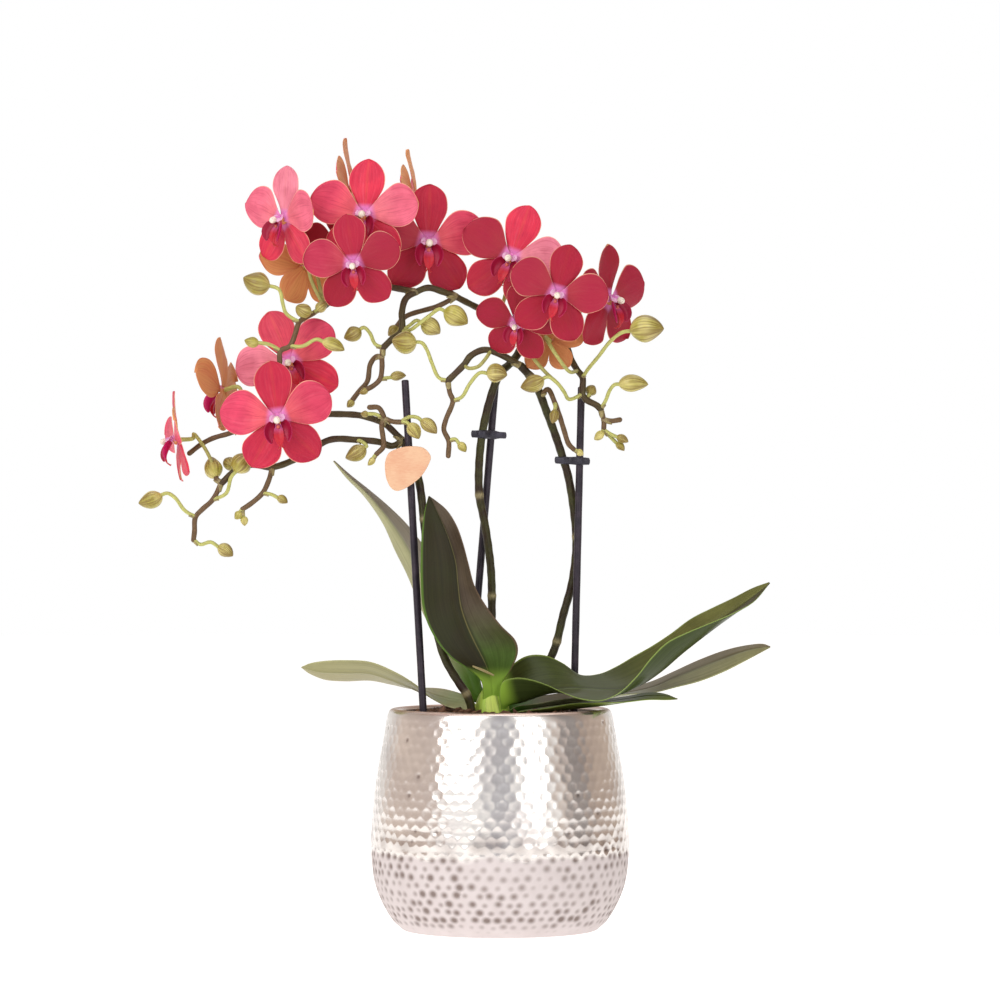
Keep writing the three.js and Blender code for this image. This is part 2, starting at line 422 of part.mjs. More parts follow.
/** A round rod along a smooth route, with a joint at each of the route's points. */
function tube(route, radius, sides) {
  const curve = new Route(route);
  const section = new THREE.Shape();
  for (let i = 0; i < sides; i += 1) {
    const angle = (2 * Math.PI * i) / sides;
    section[i ? 'lineTo' : 'moveTo'](radius * Math.cos(angle), radius * Math.sin(angle));
  }
  const steps = route.length - 1;
  return solid(new THREE.ExtrudeGeometry(section, { steps, extrudePath: curve, bevelEnabled: false }));
}

/** A thin closed blade about the surface place(u, v), u from root to tip and v from -1 to 1 across. */
function blade(rows, columns, place, thickness) {
  const across = columns + 1;
  const faces = [[], []];
  const small = 1e-3;
  for (let i = 0; i <= rows; i += 1) {
    // rows lie closer together towards the tip
    const u = Math.sin((Math.PI / 2) * (i / rows));
    for (let j = 0; j <= columns; j += 1) {
      const v = (2 * j) / columns - 1;
      const along = place(Math.min(u + small, 1), v).sub(place(Math.min(u, 1 - small) - small, v));
      const over = place(u, Math.min(v + small, 1)).sub(place(u, Math.max(v - small, -1)));
      const normal = along.cross(over).normalize().multiplyScalar(thickness(u, v) / 2);
      faces[0].push(place(u, v).sub(normal));
      faces[1].push(place(u, v).add(normal));
    }
  }
  const points = [...faces[0], ...faces[1]];
  const other = faces[0].length;
  const index = [];
  // both faces are split along the same diagonals
  for (let i = 0; i < rows; i += 1) {
    for (let j = 0; j < columns; j += 1) {
      const a = i * across + j;
      const [b, c, d] = [a + 1, a + across, a + across + 1];
      index.push(a, b, d, a, d, c);
      index.push(other + a, other + d, other + b, other + a, other + c, other + d);
    }
  }
  const rim = [];
  for (let j = 0; j < columns; j += 1) {
    rim.push(j);
  }
  for (let i = 0; i < rows; i += 1) {
    rim.push(i * across + columns);
  }
  for (let j = columns; j > 0; j -= 1) {
    rim.push(rows * across + j);
  }
  for (let i = rows; i > 0; i -= 1) {
    rim.push(i * across);
  }
  rim.forEach((a, k) => {
    const b = rim[(k + 1) % rim.length];
    index.push(a, other + a, other + b, a, other + b, b);
  });
  const geometry = new THREE.BufferGeometry().setFromPoints(points);
  geometry.setIndex(index);
  return solid(geometry);
}

/** A straight stake, larger than itself by grow. */
function stakeRod({ foot, top }, grow = 0) {
  return tube([[foot[0], foot[1], foot[2] - grow], top], STAKE.radius + grow, STAKE.sides);
}

/** The cachepot: a bellied wall with staggered dimples, a rounded rim and a flat foot. */
function cachepot() {
  const points = POT_OUTLINE.map(([radius, height]) => new THREE.Vector2(radius, height));
  const side = new THREE.SplineCurve(points);
  const outer = side.getSpacedPoints(POT.rows).map((point) => [point.x, point.y]);
  const inner = POT_INSIDE.map((share) => {
    const point = side.getPointAt(share);
    return [point.x - POT.wall, point.y];
  });
  const rim = POT_RIM.map(([out, up]) => [POT.rimRadius + out, POT.height + up]);
  const heel = [side.getPointAt(POT_HEEL).x - POT.wall, POT.floor];
  const outline = [[0, 0], ...outer, ...rim, ...inner, heel, [0, POT.floor]];
  const dimpled = (point, row, column) => {
    if (row > 1 && row < outer.length && (row + column) % 2) {
      const radius = Math.hypot(point.x, point.y);
      point.x *= (radius - POT.dimple) / radius;
      point.y *= (radius - POT.dimple) / radius;
    }
  };
  return turned(outline, POT.segments, dimpled);
}

/** The nursery pot, standing on the cachepot's floor. */
function nurseryPot() {
  const { footRadius, topRadius, top, wall, rim, collar, segments } = NURSERY;
  const foot = POT.floor + GAP;
  const outline = [[0, foot], [footRadius, foot], [topRadius, top - collar], [topRadius + rim, top - collar],
    [topRadius + rim, top], [topRadius - wall, top], [footRadius - wall, foot + wall], [0, foot + wall]];
  const holes = Array.from({ length: DRAIN.count }, (_, i) => {
    const angle = (2 * Math.PI * i) / DRAIN.count;
    const hole = new THREE.CylinderGeometry(DRAIN.radius, DRAIN.radius, DRAIN.depth, DRAIN.sides);
    hole.rotateX(Math.PI / 2);
    hole.translate(DRAIN.ring * Math.cos(angle), DRAIN.ring * Math.sin(angle), foot);
    return solid(hole);
  });
  return turned(outline, segments).subtract(joined(holes));
}

/** The bark: it fills the nursery pot, with an uneven top. */
function barkBed() {
  const { footRadius, topRadius, wall } = NURSERY;
  const foot = POT.floor + 2 * GAP + wall;
  const clear = wall + GAP;
  const side = [[0, foot], [footRadius - clear, foot], [topRadius - clear - GAP, BARK.shoulder]];
  const rings = Array.from({ length: BARK.rings }, (_, i) => {
    const radius = (topRadius - clear) * (1 - (i + BARK.slope) / BARK.rings);
    return [radius, BARK.top];
  });
  const outline = [...side, ...rings, [0, BARK.top]];
  const draw = seeded(BARK.seed);
  const bumps = Array.from({ length: outline.length * BARK.segments }, () => (2 * draw() - 1) * BARK.bump);
  const uneven = (point, row, column) => {
    if (row >= side.length && row < outline.length - 1) {
      point.z += bumps[row * BARK.segments + column];
    }
  };
  return turned(outline, BARK.segments, uneven);
}

/** The crown, larger than itself by grow. */
function crownBody(grow = 0) {
  const { bottom, waist, neck, top, footRadius, radius, neckRadius, topRadius, segments } = CROWN;
  const outline = [[0, bottom - grow], [footRadius + grow, bottom - grow], [radius + grow, waist],
    [neckRadius + grow, neck], [topRadius + grow, top + grow], [0, top + grow]];
  return turned(outline, segments).translate([CROWN.x, CROWN.y, 0]);
}

/** A leaf: curves through its margins and midrib, with a sheet bent from the midrib to both margins. */
function leafBody(stations) {
  const curves = [0, 1, 2].map((k) => new THREE.CatmullRomCurve3(stations.map((row) => vector(row[k]))));
  const place = (u, v) => {
    // the blade's rows are brought back to even steps
    const at = (2 / Math.PI) * Math.asin(THREE.MathUtils.clamp(u, 0, 1));
    const [first, middle, second] = curves.map((curve) => curve.getPoint(at));
    const span = second.clone().sub(first).multiplyScalar(v / 2);
    const sag = first.add(second).multiplyScalar(0.5).sub(middle).multiplyScalar(Math.abs(v) ** LEAF.fold);
    return middle.add(span).add(sag);
  };
  return blade(LEAF.rows, LEAF.columns, place, (u, v) => LEAF.thick * (1 - (1 - LEAF.edge) * Math.abs(v)));
}

/** The turn that faces a bloom: its own +Z looks out of the face and its own +Y is the top. */
function bloomTurn({ azimuth, rise, roll }) {
  const [a, e, r] = [azimuth, rise, roll].map(THREE.MathUtils.degToRad);
  const facing = new THREE.Vector3(Math.sin(a) * Math.cos(e), -Math.cos(a) * Math.cos(e), Math.sin(e));
  const right = new THREE.Vector3(Math.cos(a), Math.sin(a), 0);
  const top = new THREE.Vector3().crossVectors(facing, right);
  const basis = new THREE.Matrix4().makeBasis(right, top, facing);
  return basis.multiply(new THREE.Matrix4().makeRotationZ(r));
}

/** One tepal: a rounded blade on a narrow root, bowed along its length and cupped across. */
function tepal({ angle, length, half, layer, bend, rows }, lean) {
  const turn = THREE.MathUtils.degToRad(angle);
  const out = new THREE.Vector3(Math.cos(turn), Math.sin(turn), 0);
  const over = new THREE.Vector3(-Math.sin(turn), Math.cos(turn), 0);
  const place = (u, v) => {
    const at = THREE.MathUtils.clamp(u, 0, 1);
    const width = Math.max(half * Math.sin(Math.PI * at ** 1.08) ** 0.72, BLOOM.narrow);
    const height = layer + (bend + lean) * at ** 2 - BLOOM.cup * v * v * Math.sin(Math.PI * at);
    const point = out.clone().multiplyScalar(BLOOM.root + (length - BLOOM.root) * at);
    point.addScaledVector(over, width * v);
    point.z = height;
    return point;
  };
  return blade(rows, BLOOM.ribs, place, () => BLOOM.thick);
}

/** The five tepals of a bloom joined at its hub. */
function perianth(draw) {
  const hub = new THREE.CylinderGeometry(BLOOM.hub, BLOOM.hub, 2 * BLOOM.hubHalf, TEPALS.length);
  hub.rotateX(Math.PI / 2);
  const blades = TEPALS.map((shape) => tepal(shape, (2 * draw() - 1) * BLOOM.variation));
  return joined([solid(hub), ...blades]);
}

/** The column and the lip below it: one blade whose middle hangs forward and whose sides stand up. */
function lipAndColumn() {
  const { base, length, radius, shoulder, sides } = COLUMN;
  const column = turned([[0, base], [radius, base], [radius, base + shoulder], [0, base + length]], sides);
  const lip = blade(LIP.rows, LIP.columns, (u, v) => {
    const width = LIP.half * (0.45 + 0.55 * Math.sin(Math.PI * THREE.MathUtils.clamp(u, 0, 0.96) ** 0.7));
    const lift = LIP.sides * v * v * (1 - u);
    const front = base + LIP.root + LIP.reach * u + lift / 2;
    return new THREE.Vector3(width * v, lift - LIP.length * u - LIP.root, front);
  }, () => LIP.thick);
  return joined([column, lip]);
}

/** A bud at the end of a stalk, pointing on along it. */
function budBody(tip, along, size) {
  const [length, width] = size;
  const outline = BUD_OUTLINE.map(([radius, height]) => [(radius * width) / 2, height * length]);
  const body = turned(outline, BUD_SIDES);
  const turn = new THREE.Matrix4().makeRotationFromQuaternion(
    new THREE.Quaternion().setFromUnitVectors(new THREE.Vector3(0, 0, 1), along),
  );
  turn.setPosition(tip.clone().addScaledVector(along, -BUD_SEAT * length));
  return body.transform(turn.elements);
}

/** A stem of one size along its route, larger by grow. */
function stem({ size, route: [[x, y, z], ...rest] }, grow = 0) {
  return tube([[x, y, z - grow], ...rest], STEM[size].radius + grow, STEM[size].sides);
}

/** A stalk that ends just behind a bloom's hub, square to its face. */
function bloomStalk({ at, width, from, via = [], ...look }) {
  const facing = new THREE.Vector3().setFromMatrixColumn(bloomTurn(look), 2);
  const behind = BLOOM.hubHalf * (width / BLOOM.width) + GAP;
  const end = vector(at).addScaledVector(facing, -behind);
  const bend = vector(at).addScaledVector(facing, -behind - BLOOM.stalk);
  return stem({ size: 'pedicel', route: [from, ...via, bend.toArray(), end.toArray()] });
}

/** A flower spike: its stems, their buds and the stalks of its blooms, all grown together. */
function spikeBody(letter) {
  const stems = SPIKES[letter].map((piece) => stem(piece));
  const buds = SPIKES[letter].filter((piece) => piece.bud).map(({ route, bud }) => {
    const [before, tip] = route.slice(-2).map(vector);
    return budBody(tip, tip.clone().sub(before).normalize(), bud);
  });
  const stalks = Object.values(BLOOMS).filter(({ spike }) => spike === letter).map(bloomStalk);
  return joined([...stems, ...buds, ...stalks]);
}

/** A clip: a rounded bar with a hole for the stake and one for the stem. */
function clipBody({ at, size }, stake, stemHole) {
  const [width, depth, height] = size;
  const [x, y] = [width / 2, depth / 2];
  const outline = new THREE.Shape();
  outline.moveTo(-x + CLIP_CORNER, -y);
  outline.lineTo(x - CLIP_CORNER, -y);
  outline.quadraticCurveTo(x, -y, x, -y + CLIP_CORNER);
  outline.lineTo(x, y - CLIP_CORNER);
  outline.quadraticCurveTo(x, y, x - CLIP_CORNER, y);
  outline.lineTo(-x + CLIP_CORNER, y);
  outline.quadraticCurveTo(-x, y, -x, y - CLIP_CORNER);
  outline.lineTo(-x, -y + CLIP_CORNER);
  outline.quadraticCurveTo(-x, -y, -x + CLIP_CORNER, -y);
  const bar = new THREE.ExtrudeGeometry(outline, { depth: height, bevelEnabled: false, curveSegments: 2 });
  bar.translate(at[0], at[1], at[2] - height / 2);
  return solid(bar).subtract(stakeRod(stake, GAP)).subtract(stemHole);
}

/** The care label: a thin card just in front of the clip that holds it. */
function label() {
  const corners = [...TAG_OUTLINE, TAG_OUTLINE[0]].map(([x, z]) => new THREE.Vector2(x, z));
  const curve = new THREE.SplineCurve(corners);
  const outline = new THREE.Shape(curve.getPoints(TAG.steps * TAG_OUTLINE.length).slice(0, -1));
  const card = new THREE.ExtrudeGeometry(outline, { depth: TAG.thick, bevelEnabled: false });
  card.rotateX(Math.PI / 2);
  const front = CLIPS.a.at[1] - CLIPS.a.size[1] / 2;
  card.translate(TAG.at[0], front - GAP, TAG.at[1]);
  return solid(card);
}

const group = new THREE.Group();

/** Adds a named piece and returns its mesh. */
function add(name, body, finish) {
  const mesh = new THREE.Mesh(geometryOf(body), new THREE.MeshStandardMaterial(FINISH[finish]));
  mesh.name = name;
  group.add(mesh);
  return mesh;
}

add('pot', cachepot(), 'pot');
add('nursery_pot', nurseryPot(), 'nursery');

const crownHole = crownBody(GAP);
const stakeHoles = Object.values(STAKES).map((stake) => stakeRod(stake, GAP));
const stemHoles = Object.values(SPIKES).map(([main]) => stem(main, GAP));
add('bark', barkBed().subtract(joined([crownHole, ...stakeHoles, ...stemHoles])), 'bark');
add('crown', crownBody(), 'crown');

Object.entries(STAKES).forEach(([letter, stake]) => add(`stake_${letter}`, stakeRod(stake), 'stake'));
Object.entries(CLIPS).forEach(([letter, clip]) => {
  add(`clip_${letter}`, clipBody(clip, STAKES[letter], stem(SPIKES[letter][0], GAP)), 'clip');
});
add('care_label', label(), 'tag');
Object.keys(SPIKES).forEach((letter) => add(`spike_${letter}`, spikeBody(letter), 'spike'));

Object.entries(LEAVES).forEach(([name, leaf]) => add(name, leafBody(leaf).subtract(crownHole), 'leaf'));

const draw = seeded(BLOOM.seed);
Object.entries(BLOOMS).forEach(([name, bloom]) => {
  const turn = new THREE.Quaternion().setFromRotationMatrix(bloomTurn(bloom));
  const pieces = [add(name, perianth(draw), 'petal'), add(`${name}_lip`, lipAndColumn(), 'lip')];
  pieces.forEach((mesh) => {
    mesh.position.set(...bloom.at);
    mesh.quaternion.copy(turn);
    mesh.scale.setScalar(bloom.width / BLOOM.width);
  });
});

export default group;
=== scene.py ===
"""Potted moth orchid in flower: its fine pieces, finishes and studio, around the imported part.

Lengths are millimetres in the part's own frame up to the point where a mesh is made, and metres after it:
+Z is up, the viewer of the front stands on the -Y side, and the origin is the centre of the pot's foot.
"""

import logging
import math
from dataclasses import dataclass, field
from enum import Enum

import bpy
import numpy as np
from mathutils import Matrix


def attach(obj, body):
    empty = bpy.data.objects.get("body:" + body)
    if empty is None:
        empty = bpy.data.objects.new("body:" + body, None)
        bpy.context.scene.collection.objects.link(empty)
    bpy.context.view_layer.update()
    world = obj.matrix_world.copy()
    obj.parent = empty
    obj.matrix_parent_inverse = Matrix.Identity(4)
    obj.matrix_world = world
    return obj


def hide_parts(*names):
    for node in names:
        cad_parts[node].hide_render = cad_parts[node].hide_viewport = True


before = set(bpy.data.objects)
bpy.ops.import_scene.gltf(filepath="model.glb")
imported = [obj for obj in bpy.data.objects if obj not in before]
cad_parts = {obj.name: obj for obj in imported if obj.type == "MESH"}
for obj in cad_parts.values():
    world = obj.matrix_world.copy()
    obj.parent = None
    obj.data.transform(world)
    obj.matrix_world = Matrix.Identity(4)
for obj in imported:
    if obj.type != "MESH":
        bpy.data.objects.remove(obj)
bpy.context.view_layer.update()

MM = 0.001
GOLDEN_ANGLE = 2.39996
Array = np.ndarray
Tone = Array | tuple[float, float, float]
Route = tuple[tuple[float, float, float], ...]
Stations = tuple[Route, ...]

log = logging.getLogger("orchid")


def linear(code: str) -> tuple[float, float, float, float]:
    """Turns an sRGB colour into linear light.

    Each channel below 0.04045 is divided by 12.92; the others are ((c + 0.055) / 1.055) to the power 2.4.

    Args:
        code: six hex digits with a leading #.

    Returns:
        Red, green, blue and an alpha of 1.
    """
    channels = np.array([int(code[i:i + 2], 16) for i in (1, 3, 5)]) / 255
    light = np.where(channels <= 0.04045, channels / 12.92, ((channels + 0.055) / 1.055) ** 2.4)
    return (*light.tolist(), 1.0)


def unit(vectors: Array) -> Array:
    """Vectors brought to length one along the last axis."""
    return vectors / np.maximum(np.linalg.norm(vectors, axis=-1, keepdims=True), 1e-12)


def ripple(points: Array, size: float, seed: int) -> Array:
    """Smooth unevenness from -1 to 1: the mean of nine sine waves in seeded directions, doubled.

    Args:
        points: places, with three numbers along the last axis.
        size: about the width of one bump, in the units of the points.
        seed: picks the directions and phases.

    Returns:
        One number a point.
    """
    draw = np.random.default_rng(seed)
    waves = unit(draw.normal(size=(9, 3))) * (math.pi / size) * draw.uniform(0.6, 1.5, size=(9, 1))
    return np.clip(2 * np.sin(points @ waves.T + draw.uniform(0, 2 * math.pi, 9)).mean(axis=-1), -1, 1)


def spline(given: Array, stretch: Array, share: Array) -> Array:
    """Points of a smooth curve through given ones.

    It is a centripetal Catmull-Rom spline: each stretch is a cubic whose end slopes come from the
    neighbouring points, weighted by the square roots of their distances, and the ends run on straight.

    Args:
        given: the points it passes, one row each.
        stretch: for each wanted point, the number of the given point before it.
        share: how far it is from that one to the next, from 0 to 1.

    Returns:
        The wanted points, one row each.
    """
    points = np.vstack([2 * given[0] - given[1], given, 2 * given[-1] - given[-2]])
    spans = np.maximum(np.linalg.norm(np.diff(points, axis=0), axis=1), 1e-6)[:, None] ** 0.5
    a, b, c, d = points[:-3], points[1:-2], points[2:-1], points[3:]
    before, here, after = spans[:-2], spans[1:-1], spans[2:]
    start = ((b - a) / before - (c - a) / (before + here) + (c - b) / here) * here
    end = ((c - b) / here - (d - b) / (here + after) + (d - c) / after) * here
    low, high, start, end, t = b[stretch], c[stretch], start[stretch], end[stretch], share[:, None]
    curve = low + start * t + (3 * (high - low) - 2 * start - end) * t**2
    return curve + (2 * (low - high) + start + end) * t**3


def smooth_route(points: Route, step: float = 1.5) -> Array:
    """A smooth path through given points, in even steps from each to the next.

    Args:
        points: the points it passes.
        step: the longest step.

    Returns:
        The path's points, one row each.
    """
    given = np.asarray(points, float)
    counts = np.maximum(np.ceil(np.linalg.norm(np.diff(given, axis=0), axis=1) / step).astype(int), 2)
    stretch = np.repeat(np.arange(len(counts)), counts)
    share = (np.arange(counts.sum()) - (np.cumsum(counts) - counts)[stretch]) / counts[stretch]
    return np.vstack([spline(given, stretch, share), given[-1]])


def through(points: Array, shares: Array) -> Array:
    """Places on a smooth path through given points.

    Args:
        points: the points it passes, one row each.
        shares: how far along each place is, from 0 to 1; every stretch between two points counts alike.

    Returns:
        The places, one row each.
    """
    part = shares * (len(points) - 1)
    stretch = np.minimum(part.astype(int), len(points) - 2)
    return spline(points, stretch, part - stretch)


def lengths(path: Array) -> Array:
    """The length of a path up to each of its points: the running sum of its steps."""
    return np.concatenate([[0], np.cumsum(np.linalg.norm(np.diff(path, axis=0), axis=1))])


def frames(path: Array) -> tuple[Array, Array, Array]:
    """Tangents of a path and two directions square to each.

    The side is the cross product of one fixed direction with the tangent. The fixed direction is the one,
    of eighty spread over a ball by turns of 2.4 radians, that comes nearest to none of the tangents.

    Args:
        path: its points.

    Returns:
        Tangents, sides and the third directions, one row a point.
    """
    tangent = unit(np.gradient(path, axis=0))
    count = np.arange(80)
    height = 1 - (2 * count + 1) / 80
    around = np.sqrt(1 - height**2)
    ball = np.stack([around * np.cos(2.4 * count), around * np.sin(2.4 * count), height], axis=1)
    fixed = ball[np.argmin(np.abs(ball @ tangent.T).max(axis=1))]
    side = unit(np.cross(fixed, tangent))
    return tangent, side, np.cross(tangent, side)


@dataclass
class Surface:
    """A closed surface with two sets of three numbers a point, which the finishes read.

    place says where on its own piece a point is: along it, across it, and which face it is on.
    tone says which shades it has, in the way that its finish gives.
    """

    points: Array
    quads: Array
    triangles: Array
    place: Array
    tone: Array

    def outward(self) -> "Surface":
        """The same surface with its faces outwards.

        The volume is a sixth of the sum, over triangles, of the first corner's dot product with the cross
        product of the other two. Where it is negative, every face is turned round.

        Returns:
            The surface itself.
        """
        corners = np.concatenate([self.quads[:, :3], self.quads[:, [0, 2, 3]], self.triangles])
        a, b, c = (self.points[corners[:, k]] for k in range(3))
        if np.einsum("ij,ij->", a, np.cross(b, c)) < 0:
            self.quads, self.triangles = self.quads[:, ::-1], self.triangles[:, ::-1]
        return self

    def moved(self, turn: Array, shift: Array) -> "Surface":
        """The surface turned and scaled by a 3 by 3 matrix, then shifted."""
        return Surface(self.points @ turn.T + shift, self.quads, self.triangles, self.place, self.tone)

    @staticmethod
    def joined(parts: list["Surface"]) -> "Surface":
        """Several surfaces as one: their points in turn, with the faces' numbers raised to match.

        Args:
            parts: the surfaces.

        Returns:
            The one surface.
        """
        starts = np.cumsum([0] + [len(part.points) for part in parts[:-1]])
        return Surface(
            np.concatenate([part.points for part in parts]),
            np.concatenate([part.quads + start for part, start in zip(parts, starts)]),
            np.concatenate([part.triangles + start for part, start in zip(parts, starts)]),
            np.concatenate([part.place for part in parts]),
            np.concatenate([part.tone for part in parts]),
        )


def shell(rings: Array, place: Array, tone: Tone) -> Surface:
    """A closed surface from rings of points.

    Each ring is joined to the next by quads, and a fan closes the first and last at its own middle.

    Args:
        rings: points by ring and by place round it.
        place: the place numbers, in the shape of the rings.
        tone: the tone numbers, in that shape or one set for all.

    Returns:
        The surface, faces outwards.
    """
    rows, columns = rings.shape[:2]
    row, column = np.meshgrid(np.arange(rows - 1), np.arange(columns), indexing="ij")
    here, beside = row * columns + column, row * columns + (column + 1) % columns
    quads = np.stack([here, beside, beside + columns, here + columns], axis=-1).reshape(-1, 4)
    round_ring = np.arange(columns)
    following = (round_ring + 1) % columns
    first, last = np.full(columns, rows * columns), np.full(columns, rows * columns + 1)
    base = (rows - 1) * columns
    fans = [np.stack([first, following, round_ring], axis=1),
            np.stack([last, base + round_ring, base + following], axis=1)]

    def filled(values: Array) -> Array:
        """The rings' values in one list, followed by the means of the first and last ring."""
        full = np.broadcast_to(values, rings.shape)
        return np.concatenate([full.reshape(-1, 3), full[[0, -1]].mean(axis=1)])

    closed = Surface(filled(rings), quads, np.concatenate(fans), filled(place), filled(np.asarray(tone)))
    return closed.outward()


def tube(path: Array, radius: Array | float, sides: int, share: Array | float,
         tone: Tone = (0, 0, 0), domed: bool = True) -> Surface:
    """A round body carried along a path.

    A point is the path's point plus the radius times (cos a * side + sin a * third direction). Domed ends
    follow a quarter circle: their rings stand radius * sin t beyond the end and are radius * cos t wide.

    Args:
        path: its points.
        radius: one number, one a point, or one a point and side.
        sides: how many points a ring has.
        share: the first place number, one for all or one a point.
        tone: tone numbers, one set for all or one a point.
        domed: whether the ends are rounded.

    Returns:
        The closed surface.
    """
    tangent, side, third = frames(path)
    wide = np.asarray(radius, float)
    wide = np.broadcast_to(wide.reshape(-1, 1) if wide.ndim < 2 else wide, (len(path), sides))
    share = np.broadcast_to(share, len(path))
    tone = np.broadcast_to(tone, (len(path), 3))
    centre = path
    if domed:
        tilt = np.radians([78, 52, 26])[:, None]
        ends = [centre[:1] - tangent[:1] * wide[0].mean() * np.sin(tilt), centre,
                centre[-1:] + tangent[-1:] * wide[-1].mean() * np.sin(tilt[::-1])]
        centre = np.concatenate(ends)
        wide = np.concatenate([wide[:1] * np.cos(tilt), wide, wide[-1:] * np.cos(tilt[::-1])])
        kept = np.concatenate([[0] * 3, np.arange(len(path)), [len(path) - 1] * 3])
        side, third, share, tone = side[kept], third[kept], share[kept], tone[kept]
    angle = 2 * math.pi * np.arange(sides) / sides
    cos, sin = np.cos(angle)[None, :, None], np.sin(angle)[None, :, None]
    rings = centre[:, None] + wide[..., None] * (cos * side[:, None] + sin * third[:, None])
    place = np.stack(np.broadcast_arrays(share[:, None], cos[..., 0], sin[..., 0]), axis=-1)
    return shell(rings, place, np.broadcast_to(tone[:, None], rings.shape))


def blade(middle: Array, thick: Array, along: Array, across: Array, tone: Tone = (0, 0, 0)) -> Surface:
    """A thin closed sheet about a middle surface.

    Its faces stand half the thickness from the middle surface along the normal, which is the cross product
    of the steps along and across, and they meet at the margins.

    Args:
        middle: points by row along and column across.
        thick: the thickness at each.
        along: the share of the length at each row.
        across: the share of the half width at each column, from -1 to 1.
        tone: tone numbers of the whole sheet.

    Returns:
        The closed surface. The third place number is 1 on the face that the normal points to.
    """
    normal = unit(np.cross(np.gradient(middle, axis=0), np.gradient(middle, axis=1)))
    lift = normal * (thick / 2)[..., None]
    rings = np.concatenate([middle + lift, (middle - lift)[:, ::-1]], axis=1)
    u, v = np.meshgrid(along, across, indexing="ij")
    front, back = (np.stack([u, v, np.full_like(u, side)], axis=-1) for side in (1, 0))
    return shell(rings, np.concatenate([front, back[:, ::-1]], axis=1), tone)


def lathe(profile: Array, columns: int, share: Array | float, tone: Tone) -> Surface:
    """A body turned about the Z axis: each profile point gives (radius cos a, radius sin a, height).

    Args:
        profile: [radius, height] rows; the ends are closed on the axis.
        columns: how many points a ring has.
        share: the first place number, one for all or one a row.
        tone: tone numbers, one set for all or one a row.

    Returns:
        The closed surface.
    """
    angle = 2 * math.pi * np.arange(columns) / columns
    radius, height = profile[:, :1], np.broadcast_to(profile[:, 1:], (len(profile), columns))
    rings = np.stack([radius * np.cos(angle), radius * np.sin(angle), height], axis=-1)
    share = np.broadcast_to(share, len(profile))[:, None]
    place = np.stack(np.broadcast_arrays(share, np.cos(angle), np.sin(angle)), axis=-1)
    tone = np.broadcast_to(tone, (len(profile), 3))[:, None]
    return shell(rings, place, np.broadcast_to(tone, rings.shape))


def make_object(name: str, surface: Surface) -> bpy.types.Object:
    """Puts a surface into a smooth-shaded mesh object at the origin.

    Args:
        name: the object's name.
        surface: the surface, in millimetres.

    Returns:
        The object, in metres, linked to the scene.
    """
    mesh = bpy.data.meshes.new(name)
    corners = np.concatenate([surface.quads.ravel(), surface.triangles.ravel()]).astype(np.int32)
    sizes = np.concatenate([np.full(len(surface.quads), 4), np.full(len(surface.triangles), 3)])
    mesh.vertices.add(len(surface.points))
    mesh.vertices.foreach_set("co", (surface.points * MM).astype(np.float32).ravel())
    mesh.loops.add(len(corners))
    mesh.loops.foreach_set("vertex_index", corners)
    mesh.polygons.add(len(sizes))
    mesh.polygons.foreach_set("loop_start", (np.cumsum(sizes) - sizes).astype(np.int32))
    mesh.polygons.foreach_set("use_smooth", np.ones(len(sizes), bool))
    mesh.update(calc_edges=True)
    mesh.validate()
    for key in ("place", "tone"):
        layer = mesh.attributes.new(key, "FLOAT_VECTOR", "POINT")
        layer.data.foreach_set("vector", getattr(surface, key).astype(np.float32).ravel())
    piece = bpy.data.objects.new(name, mesh)
    bpy.context.scene.collection.objects.link(piece)
    return piece


def settle(piece: bpy.types.Object, material: bpy.types.Material, slot: str, *nodes: str) -> None:
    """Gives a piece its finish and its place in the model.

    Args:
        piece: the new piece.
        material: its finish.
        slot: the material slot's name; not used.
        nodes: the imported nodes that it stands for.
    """
    piece.data.materials.append(material)
    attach(piece, "root")
    if nodes:
        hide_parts(*nodes)
    log.info("%s: %d faces", piece.name, len(piece.data.polygons))


